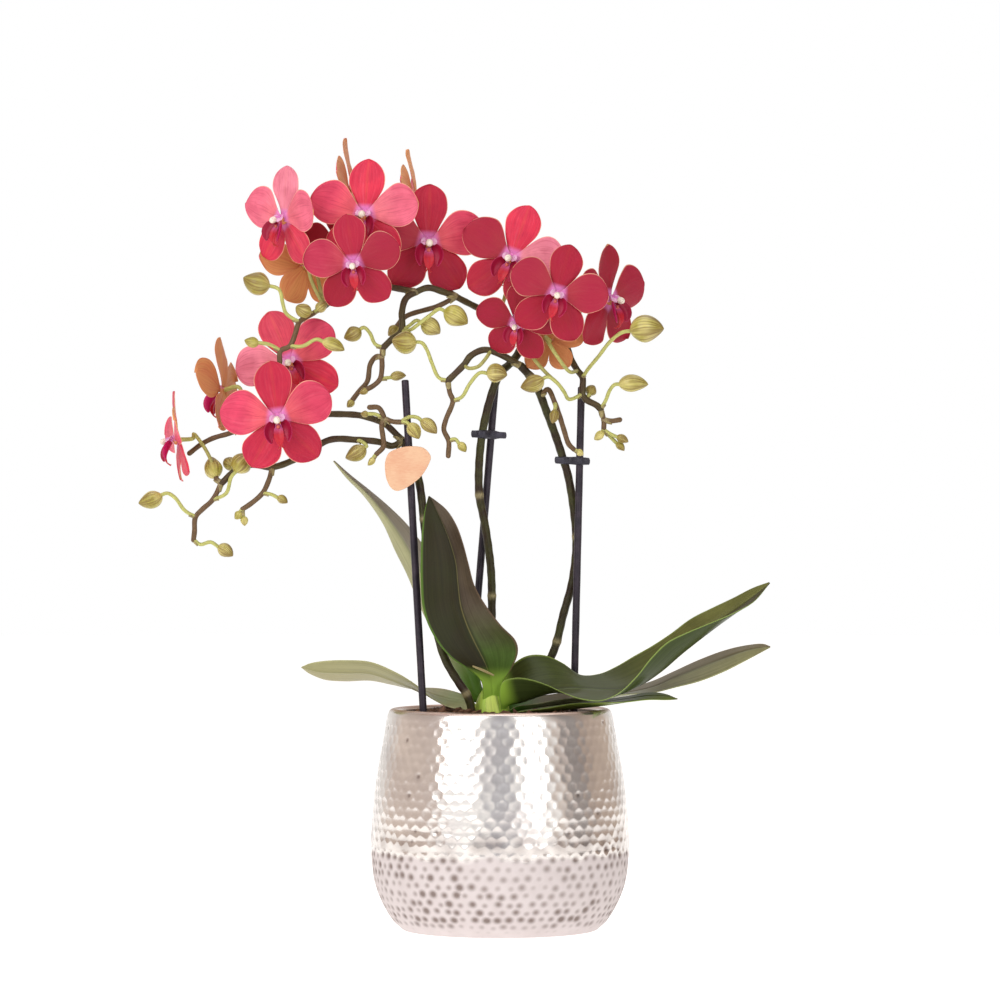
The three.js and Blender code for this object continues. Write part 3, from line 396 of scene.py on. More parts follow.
class Paint:
    """A material's node tree, with the coordinates that finishes share.

    ORDER says, by the kind of node, which inputs take the values that add is given in turn. For other kinds
    the first value goes to the first input, and so on.
    """

    ORDER = {
        "Mix": (0, 6, 7),
        "MapRange": ("Value", "From Min", "From Max", "To Min", "To Max"),
        "TexNoise": ("Vector", "Scale", "Detail", "Roughness"),
        "Mapping": ("Vector", "Scale", "Location"),
        "Bump": ("Height", "Strength", "Distance"),
    }
    MIXED = 2

    def __init__(self, name: str, **shader: float | tuple) -> None:
        """Starts a material.

        Args:
            name: the material's name.
            shader: values for the shader's sockets, with an underscore for each space of their names.
        """
        self.material = bpy.data.materials.new(name)
        self.material.use_nodes = True
        self.tree = self.material.node_tree
        self.tree.nodes.clear()
        values = {key.replace("_", " "): value for key, value in shader.items()}
        surface = self.add("BsdfPrincipled", named=values)
        self.shader = surface.node
        self.add("OutputMaterial", surface)
        # object coordinates in millimetres
        self.spot = self.add("VectorMath", self.add("TexCoord", out=3), named={"Scale": 1 / MM},
                             operation="SCALE")
        place = self.add("Attribute", out=1, attribute_name="place")
        tone = self.add("Attribute", out=1, attribute_name="tone")
        self.along, self.across, self.face = self.add("SeparateXYZ", place).node.outputs
        self.tones = self.add("SeparateXYZ", tone).node.outputs

    @classmethod
    def bare(cls, tree: bpy.types.NodeTree) -> "Paint":
        """Paint on a tree that has no material, such as a world's.

        Args:
            tree: the tree, which is emptied.

        Returns:
            The paint, which has add alone.
        """
        paint = cls.__new__(cls)
        paint.tree = tree
        tree.nodes.clear()
        return paint

    def add(self, kind: str, *values: object, named: dict | None = None, out: int = 0,
            **settings: object) -> bpy.types.NodeSocket:
        """Adds a node. A Mix node mixes colours.

        Args:
            kind: the node's type name, without ShaderNode in front.
            values: what its inputs take, in turn: a number, a vector, an sRGB colour as six hex digits with
                a leading #, or a socket to link from.
            named: the same for inputs by their names.
            out: which output is handed back; a socket's node gives the others.
            settings: the node's own settings.

        Returns:
            The output, or the first input where a node has no output.
        """
        node = self.tree.nodes.new("ShaderNode" + kind)
        if kind == "Mix":
            node.data_type, out = "RGBA", self.MIXED
        for key, value in settings.items():
            setattr(node, key, value)
        given = dict(zip(self.ORDER.get(kind, range(len(values))), values)) | (named or {})
        for key, value in given.items():
            if isinstance(value, bpy.types.NodeSocket):
                self.tree.links.new(value, node.inputs[key])
            else:
                node.inputs[key].default_value = linear(value) if isinstance(value, str) else value
        return node.outputs[out] if node.outputs else node.inputs[0]

    def finish(self, inputs: dict) -> bpy.types.Material:
        """Links the shader's inputs.

        Args:
            inputs: the socket that each of them takes, by its name.

        Returns:
            The material.
        """
        for key, value in inputs.items():
            self.tree.links.new(value, self.shader.inputs[key])
        return self.material


@dataclass(frozen=True)
class HammeredSilverGlaze:
    """Silver glaze on hammered stoneware: soft mirror-like dents, and matt pitted pink-white clay below."""

    silver: str = "#ece6e1"
    worn: str = "#d4cdca"
    crest: str = "#c3a292"
    clay: str = "#dbd1d0"
    clay_shade: str = "#cabebc"
    pit: str = "#80706a"
    peel: float = 0.9

    def material(self) -> bpy.types.Material:
        """The first tone is the rim's crest, the second the darkness of pits and specks with the painted
        shade over the seam, the third the share of matt clay.

        The glaze has roughness 0.12 to 0.24 in soft patches 30 mm wide, more on the crest, and drag lines
        0.4 mm apart that run round the pot; the clay has a mottle of 9 mm.

        Returns:
            The material.
        """
        paint = Paint("silver_glazed_stoneware")
        cloud = paint.add("TexNoise", paint.spot, 0.05, 3.0)
        worn = paint.add("MapRange", cloud, 0.4, 0.7)
        silver = paint.add("Mix", worn, self.silver, self.worn)
        mottle = paint.add("TexNoise", paint.spot, 0.11, 4.0)
        clay = paint.add("Mix", mottle, self.clay, self.clay_shade)
        lower = paint.add("Mix", paint.tones[2], silver, clay)
        crest = paint.add("Mix", paint.tones[0], lower, self.crest)
        # the second tone darkens towards the pit colour: pits, specks, and the painted shade over the seam
        colour = paint.add("Mix", paint.tones[1], crest, self.pit)
        rough = paint.add("MapRange", cloud, 0.3, 0.7, 0.12, 0.24)
        matt = paint.add("Math", paint.tones[2], 0.5, rough, operation="MULTIPLY_ADD")
        dull = paint.add("Math", paint.tones[0], 0.2, matt, operation="MULTIPLY_ADD")
        metal = paint.add("Math", paint.tones[2], -0.94, 0.96, operation="MULTIPLY_ADD")
        drag = paint.add("Mapping", paint.spot, (0.1, 0.1, 2.4))
        lines = paint.add("TexNoise", drag, 1.0, 3.0)
        peel = paint.add("TexNoise", paint.spot, 1 / self.peel, 2.0)
        relief = paint.add("Math", lines, 0.8, peel, operation="MULTIPLY_ADD")
        bump = paint.add("Bump", relief, 0.2, 0.04 * MM)
        return paint.finish({"Base Color": colour, "Roughness": dull, "Metallic": metal, "Normal": bump})


@dataclass(frozen=True)
class MouldedPlastic:
    """Injection-moulded polypropylene: satin, with fine drag marks and a faint mottle of the pigment."""

    name: str
    colour: str
    mottle: str
    rough: float = 0.42

    def material(self) -> bpy.types.Material:
        """Mottle about 6 mm across, grit of 0.3 mm.

        Returns:
            The material.
        """
        paint = Paint(self.name, Specular_IOR_Level=0.3)
        cloud = paint.add("TexNoise", paint.spot, 0.16, 4.0)
        share = paint.add("MapRange", cloud, 0.4, 0.68)
        colour = paint.add("Mix", share, self.colour, self.mottle)
        drawn = paint.add("Mapping", paint.spot, (2.4, 2.4, 0.12))
        grit = paint.add("TexNoise", drawn, 1.4, 2.0)
        rough = paint.add("MapRange", grit, 0.0, 1.0, self.rough - 0.1, self.rough + 0.1)
        bump = paint.add("Bump", grit, 0.25, 0.08 * MM)
        return paint.finish({"Base Color": colour, "Roughness": rough, "Normal": bump})


@dataclass(frozen=True)
class FirBark:
    """Composted fir bark: dry red-brown flakes with dark cracks between paler layers."""

    dark: str = "#35231a"
    light: str = "#8a6346"

    def material(self) -> bpy.types.Material:
        """Layers 1.2 mm apart that wander, and pits of 0.6 mm.

        Returns:
            The material.
        """
        paint = Paint("composted_fir_bark", Roughness=0.92)
        drawn = paint.add("Mapping", paint.spot, (0.5, 0.5, 1.4))
        layers = paint.add("TexNoise", drawn, 0.8, 6.0, 0.65)
        share = paint.add("MapRange", layers, 0.35, 0.66)
        grain = paint.add("Mix", share, self.dark, self.light)
        colour = paint.add("Mix", paint.tones[0], grain, "#5a3826")
        pits = paint.add("TexNoise", paint.spot, 1.7, 4.0)
        bump = paint.add("Bump", pits, 0.7, 0.5 * MM)
        return paint.finish({"Base Color": colour, "Normal": bump})


@dataclass(frozen=True)
class Moss:
    """Sphagnum moss: soft matt strands, yellow-green at the tips and straw below."""

    def material(self) -> bpy.types.Material:
        """Straw to green along each strand.

        Returns:
            The material.
        """
        paint = Paint("sphagnum_moss", Roughness=0.85, Sheen_Weight=0.2)
        mixed = paint.add("TexNoise", paint.spot, 0.3, 2.0)
        base = paint.add("Mix", mixed, "#7a7238", "#a89c62")
        colour = paint.add("Mix", paint.along, base, "#7f9a3a")
        return paint.finish({"Base Color": colour})


@dataclass(frozen=True)
class WaxyLeaf:
    """Orchid leaf: a waxy cuticle over parallel veins, halves that catch the light apart, and a thin margin.

    Each pair of colours is for the half at the first margin and the half at the second, and holds painted
    light and shade as well as the half's own colour. The upper face may have another pair towards the tip.
    """

    name: str
    upper: tuple[str, str]
    under: tuple[str, str]
    margin: tuple[str, str]
    keel: str
    mottle: str = "#5c3a2c"
    mottled: float = 0.2
    base: str = "#9cc53c"
    based: float = 0.1
    rim: float = 0.93
    tip: tuple[str, str] | None = None
    ripe: float = 0.5
    # groove: how strongly painted shade darkens the groove beside the keel
    groove: float = 0.45

    def material(self) -> bpy.types.Material:
        """Veins about 0.8 mm apart, mottle of 12 mm, and a thin keel line with painted shade in the groove
        beside it.

        Returns:
            The material.
        """
        paint = Paint(f"{self.name}_skin", Roughness=0.33, Specular_IOR_Level=0.16)
        # the halves' colours hold painted light and shade where the halves catch the light apart
        half = paint.add("MapRange", paint.across, -0.12, 0.12, interpolation_type="SMOOTHSTEP")
        cloud = paint.add("TexNoise", paint.spot, 0.07, 4.0)
        lines = paint.add("CombineXYZ", paint.across, paint.along, paint.face)
        drawn = paint.add("Mapping", lines, (22.0, 2.4, 5.0))
        veins = paint.add("TexNoise", drawn, 1.0, 3.0)
        blotch = paint.add("MapRange", cloud, 0.42, 0.66, 0.0, self.mottled)
        ripe = paint.add("MapRange", paint.along, self.ripe - 0.16, self.ripe + 0.16,
                         interpolation_type="SMOOTHSTEP")
        blade = paint.add("Mix", ripe, paint.add("Mix", half, *self.upper),
                          paint.add("Mix", half, *(self.tip or self.upper)))
        upper = paint.add("Mix", blotch, blade, self.mottle)
        sided = paint.add("Mix", paint.face, paint.add("Mix", half, *self.under), upper)
        streak = paint.add("MapRange", veins, 0.3, 0.7, 0.8, 1.16)
        lined = paint.add("Mix", 1.0, sided, streak, blend_type="MULTIPLY")
        side = paint.add("Math", paint.across, operation="ABSOLUTE")
        # painted shade: the groove beside the keel is darkened towards near-black green
        groove = paint.add("MapRange", side, 0.02, 0.16, self.groove, 0.0, interpolation_type="SMOOTHSTEP")
        grooved = paint.add("Mix", groove, lined, "#1d2412")
        keel = paint.add("MapRange", side, 0.0, 0.035, 0.75, 0.0, interpolation_type="SMOOTHSTEP")
        ribbed = paint.add("Mix", keel, grooved, self.keel)
        clasp = paint.add("MapRange", paint.along, 0.45 * self.based, self.based, 1.0, 0.0,
                          interpolation_type="SMOOTHSTEP")
        based = paint.add("Mix", clasp, ribbed, self.base)
        rim = paint.add("MapRange", side, self.rim, self.rim + 0.05, 0.0, 0.85,
                        interpolation_type="SMOOTHSTEP")
        colour = paint.add("Mix", rim, based, paint.add("Mix", half, *self.margin))
        bump = paint.add("Bump", veins, 0.3, 0.2 * MM)
        return paint.finish({"Base Color": colour, "Normal": bump})


@dataclass(frozen=True)
class PaperyScale:
    """Dead leaf sheath: thin, dry and fibrous, pale brown with straw streaks."""

    def material(self) -> bpy.types.Material:
        """Fibres 0.4 mm apart along the scale.

        Returns:
            The material.
        """
        paint = Paint("dry_leaf_sheath", Roughness=0.7)
        lines = paint.add("CombineXYZ", paint.across, paint.along, paint.face)
        drawn = paint.add("Mapping", lines, (14.0, 2.0, 2.0))
        fibre = paint.add("TexNoise", drawn, 1.0, 4.0)
        share = paint.add("MapRange", fibre, 0.35, 0.65)
        colour = paint.add("Mix", share, "#8a7444", "#cabd8a")
        bump = paint.add("Bump", fibre, 0.5, 0.2 * MM)
        return paint.finish({"Base Color": colour, "Normal": bump})


@dataclass(frozen=True)
class FlowerStem:
    """Orchid flower stem: smooth skin, olive to bronze when old, brown on branches, green on stalks."""

    old: str = "#3e3d1f"
    bronze: str = "#33261b"
    branch: str = "#72583f"
    young: str = "#bcbc6e"
    ring: str = "#a89a72"

    def material(self) -> bpy.types.Material:
        """Streaks 0.5 mm wide along the stem, mottle of 9 mm, and pale rings at its nodes.

        Returns:
            The material.
        """
        paint = Paint("orchid_stem_skin", Roughness=0.38, Specular_IOR_Level=0.2)
        cloud = paint.add("TexNoise", paint.spot, 0.11, 3.0)
        patch = paint.add("MapRange", cloud, 0.38, 0.62)
        around = paint.add("CombineXYZ", paint.across, paint.face)
        drawn = paint.add("VectorMath", around, (5.0, 5.0, 0.0), paint.spot, operation="MULTIPLY_ADD")
        streaks = paint.add("TexNoise", drawn, 0.55, 3.0)
        old = paint.add("Mix", patch, self.old, self.bronze)
        half = paint.add("MapRange", paint.along, 0.1, 0.5)
        full = paint.add("MapRange", paint.along, 0.5, 0.95)
        branch = paint.add("Mix", half, old, self.branch)
        young = paint.add("Mix", full, branch, self.young)
        ringed = paint.add("Mix", paint.tones[0], young, self.ring)
        shade = paint.add("MapRange", streaks, 0.3, 0.7, 0.72, 1.25)
        colour = paint.add("Mix", 1.0, ringed, shade, blend_type="MULTIPLY")
        bump = paint.add("Bump", streaks, 0.3, 0.15 * MM)
        return paint.finish({"Base Color": colour, "Normal": bump})


@dataclass(frozen=True)
class BudSkin:
    """Orchid bud: firm satin skin, yellow-green with olive-brown stripes that run from stalk to tip."""

    green: str = "#ada448"
    pale: str = "#d8cb80"
    blush: str = "#74572a"

    def material(self) -> bpy.types.Material:
        """Stripes a twelfth of the girth apart, and a blush that grows to the tip.

        Returns:
            The material.
        """
        paint = Paint("orchid_bud_skin", Roughness=0.34, Specular_IOR_Level=0.35)
        around = paint.add("CombineXYZ", paint.across, paint.face, paint.along)
        drawn = paint.add("Mapping", around, (4.4, 4.4, 0.6))
        stripes = paint.add("TexNoise", drawn, 1.2, 3.0)
        cloud = paint.add("TexNoise", paint.spot, 0.12, 2.0)
        soft = paint.add("MapRange", cloud, 0.35, 0.65)
        skin = paint.add("Mix", soft, self.green, self.pale)
        lift = paint.add("Math", paint.along, 0.2, stripes, operation="MULTIPLY_ADD")
        blush = paint.add("Math", paint.tones[0], 0.3, lift, operation="MULTIPLY_ADD")
        share = paint.add("MapRange", blush, 0.54, 0.94, 0.0, 0.85, interpolation_type="SMOOTHSTEP")
        colour = paint.add("Mix", share, skin, self.blush)
        bump = paint.add("Bump", stripes, 0.3, 0.2 * MM)
        return paint.finish({"Base Color": colour, "Normal": bump})


@dataclass(frozen=True)
class VelvetPetal:
    """Moth orchid petal: velvety cells over fanned veins, coral to crimson, a peach margin and a tan back.

    The tones are how crimson or, below nought, how pale, which is partly the tepal's own colour and partly
    painted light and shade, then how plum, and how much of a sepal it is.
    """

    coral: str = "#e94e6c"
    warm: str = "#f56f72"
    bloom: str = "#f58a98"
    crimson: str = "#8c0c20"
    plum: str = "#a4264f"
    sepal: str = "#e0344f"
    # painted highlight along a sepal's middle fold
    fold_highlight: str = "#ea6650"
    vein: str = "#a0143a"
    pale: str = "#fabdd0"
    throat: str = "#e58bcf"
    margin: str = "#f6b99a"
    back: str = "#e6a066"
    back_vein: str = "#b8603a"
    back_flush: str = "#cf5a4a"
    back_deep: str = "#8c4a2a"

    def material(self) -> bpy.types.Material:
        """Dark veins 0.9 mm apart and light ones 2.5 mm apart spread to the margin, over cells of 0.3 mm.

        Returns:
            The material.
        """
        paint = Paint("orchid_petal", Roughness=0.45, Specular_IOR_Level=0.2)
        u, v = paint.along, paint.across
        side = paint.add("Math", v, operation="ABSOLUTE")
        fan = paint.add("CombineXYZ", v, u)
        blotch = paint.add("TexNoise", paint.spot, 0.12, 3.0)
        drawn = paint.add("Mapping", fan, (19.0, 1.8, 1.0))
        bent = paint.add("VectorMath", drawn, blotch, operation="ADD")
        lines = paint.add("TexNoise", bent, 1.0, 2.5)
        vein = paint.add("MapRange", lines, 0.5, 0.66, 0.0, 0.28, interpolation_type="SMOOTHSTEP")
        broad = paint.add("Mapping", fan, (6.5, 1.1, 1.0), (7.0, 3.0, 0.0))
        bands = paint.add("TexNoise", broad, 1.0, 3.0)
        bright = paint.add("MapRange", bands, 0.48, 0.76, 0.0, 0.18, interpolation_type="SMOOTHSTEP")
        soft = paint.add("MapRange", blotch, 0.35, 0.65)
        root = paint.add("MapRange", u, 0.15, 0.7, 0.75, 0.0, interpolation_type="SMOOTHSTEP")
        petal = paint.add("Mix", root, self.coral, self.warm)
        # painted highlight: a lighter, warmer band along the sepal's middle fold
        fold_highlight_share = paint.add("MapRange", side, 0.0, 0.16, 0.3, 0.0, interpolation_type="SMOOTHSTEP")
        sepal = paint.add("Mix", fold_highlight_share, self.sepal, self.fold_highlight)
        kind = paint.add("Mix", paint.tones[2], petal, sepal)
        plum = paint.add("Mix", paint.tones[1], kind, self.plum)
        lit = paint.add("Mix", bright, plum, self.bloom)
        # the first tone makes a tepal paler below nought and more crimson above it: partly its own colour,
        # partly painted light and shade
        light = paint.add("Math", paint.tones[0], -1.0, operation="MULTIPLY")
        paled = paint.add("Mix", light, lit, self.pale)
        deep = paint.add("Mix", paint.tones[0], paled, self.crimson)
        blend = paint.add("Math", soft, 0.34, operation="MULTIPLY")
        mottled = paint.add("Mix", blend, deep, self.vein)
        veined = paint.add("Mix", vein, mottled, self.vein)
        glow = paint.add("MapRange", u, 0.07, 0.2, 0.85, 0.0, interpolation_type="SMOOTHSTEP")
        glowing = paint.add("Mix", glow, veined, self.throat)
        rim = paint.add("MapRange", side, 0.95, 1.0, 0.0, 0.8, interpolation_type="SMOOTHSTEP")
        front = paint.add("Mix", rim, glowing, self.margin)
        back = paint.add("Mix", vein, self.back, self.back_vein)
        flush = paint.add("MapRange", bands, 0.45, 0.75, 0.0, 0.6)
        flushed = paint.add("Mix", flush, back, self.back_flush)
        # the back darkens with the first tone: partly the bloom's own deeper colour, partly painted shade on
        # backs in shadow
        brown = paint.add("Math", paint.tones[0], 0.55, operation="MULTIPLY")
        reverse = paint.add("Mix", brown, flushed, self.back_deep)
        colour = paint.add("Mix", paint.face, reverse, front)
        cells = paint.add("TexNoise", paint.spot, 3.0, 1.0)
        relief = paint.add("Math", lines, 2.0, cells, operation="MULTIPLY_ADD")
        bump = paint.add("Bump", relief, 0.35, 0.2 * MM)
        return paint.finish({"Base Color": colour, "Normal": bump})


@dataclass(frozen=True)
class LipFlesh:
    """Lip and column: thick satin flesh, dark crimson inside the lobes, red, lilac and cream elsewhere."""

    crimson: str = "#970f34"
    magenta: str = "#b81f5c"
    red: str = "#bb1c30"
    orange: str = "#cf5a30"
    cream: str = "#f3ead9"
    lilac: str = "#e08ad0"

    def material(self) -> bpy.types.Material:
        """Tone one is cream, two is red at 0.5 and orange at 1, three is lilac; speckles 0.7 mm across.

        Returns:
            The material.
        """
        paint = Paint("orchid_lip", Roughness=0.36, Specular_IOR_Level=0.25)
        inside = paint.add("Mix", paint.face, self.magenta, self.crimson)
        lilac = paint.add("Mix", paint.tones[2], inside, self.lilac)
        half = paint.add("MapRange", paint.tones[1], 0.0, 0.5)
        rest = paint.add("MapRange", paint.tones[1], 0.5, 1.0)
        red = paint.add("Mix", half, lilac, self.red)
        orange = paint.add("Mix", rest, red, self.orange)
        cream = paint.add("Mix", paint.tones[0], orange, self.cream)
        dots = paint.add("TexNoise", paint.spot, 1.1, 2.0)
        share = paint.add("MapRange", dots, 0.56, 0.7, 0.0, 0.45)
        colour = paint.add("Mix", share, cream, "#98103e")
        bump = paint.add("Bump", dots, 0.2, 0.15 * MM)
        return paint.finish({"Base Color": colour, "Normal": bump})


@dataclass(frozen=True)
class UncoatedCard:
    """Uncoated peach card: matt, with fine fibres and a slight mottle."""

    peach: str = "#e1b592"
    fibre: str = "#dba584"

    def material(self) -> bpy.types.Material:
        """Fibres about 0.4 mm wide and 3 mm long, mottle of 8 mm.

        Returns:
            The material.
        """
        paint = Paint("uncoated_card", Roughness=0.82)
        cloud = paint.add("TexNoise", paint.spot, 0.14, 3.0)
        drawn = paint.add("Mapping", paint.spot, (0.4, 1.0, 2.2), named={"Rotation": (0.0, 0.5, 0.0)})
        fibre = paint.add("TexNoise", drawn, 1.0, 4.0)
        both = paint.add("Math", cloud, fibre, operation="ADD")
        share = paint.add("MapRange", both, 0.85, 1.2)
        colour = paint.add("Mix", share, self.peach, self.fibre)
        bump = paint.add("Bump", fibre, 0.3, 0.06 * MM)
        return paint.finish({"Base Color": colour, "Normal": bump})


@dataclass(frozen=True)
class PaleFloor:
    """Matt studio paper on a light table: it glows white, so that shadows on it stay faint."""

    def material(self) -> bpy.types.Material:
        """Pale grey that glows from below, with a very faint mottle of 60 mm.

        Returns:
            The material.
        """
        paint = Paint("white_studio_paper", Roughness=0.85, Emission_Strength=1.75)
        cloud = paint.add("TexNoise", paint.spot, 0.016, 2.0)
        colour = paint.add("Mix", cloud, "#b9b8b7", "#bebdbc")
        return paint.finish({"Base Color": colour, "Emission Color": colour})


class Size(Enum):
    """Stem sizes: the radius, the sides of a ring, and how young the skin looks, from 0 to 1."""

    MAIN = (2.05, 18, 0.0)
    ARM = (1.65, 16, 0.2)
    BRANCH = (1.3, 14, 0.42)
    PEDICEL = (0.95, 12, 0.9)


@dataclass(frozen=True)
class Stem:
    """A stem of one size along its route, with a bud of this length and width at its end, if it has one."""

    size: Size
    route: Route
    bud: tuple[float, float] | None = None


@dataclass(frozen=True)
class Bloom:
    """A bloom: its centre, the turn of its face in degrees, its width and its stalk's route.

    Its shades say how crimson it is, or pale below nought, how plum, and how much more crimson each tepal;
    the crimson and the paleness are partly its own colour and partly painted shade and light.
    """

    at: tuple[float, float, float]
    azimuth: float
    rise: float
    roll: float
    width: float
    spike: str
    start: tuple[float, float, float]
    via: Route = ()
    deep: float = 0.2
    plum: float = 0.0
    shades: tuple[float, ...] = (0, 0, 0, 0, 0)

    def turn(self) -> Array:
        """The bloom's own directions.

        Returns:
            Its right, top and facing directions as columns, rolled about the last.
        """
        a, e, r = np.radians([self.azimuth, self.rise, self.roll])
        facing = np.array([math.sin(a) * math.cos(e), -math.cos(a) * math.cos(e), math.sin(e)])
        right = np.array([math.cos(a), math.sin(a), 0.0])
        top = np.cross(facing, right)
        c, s = math.cos(r), math.sin(r)
        return np.stack([right * c + top * s, top * c - right * s, facing], axis=1)


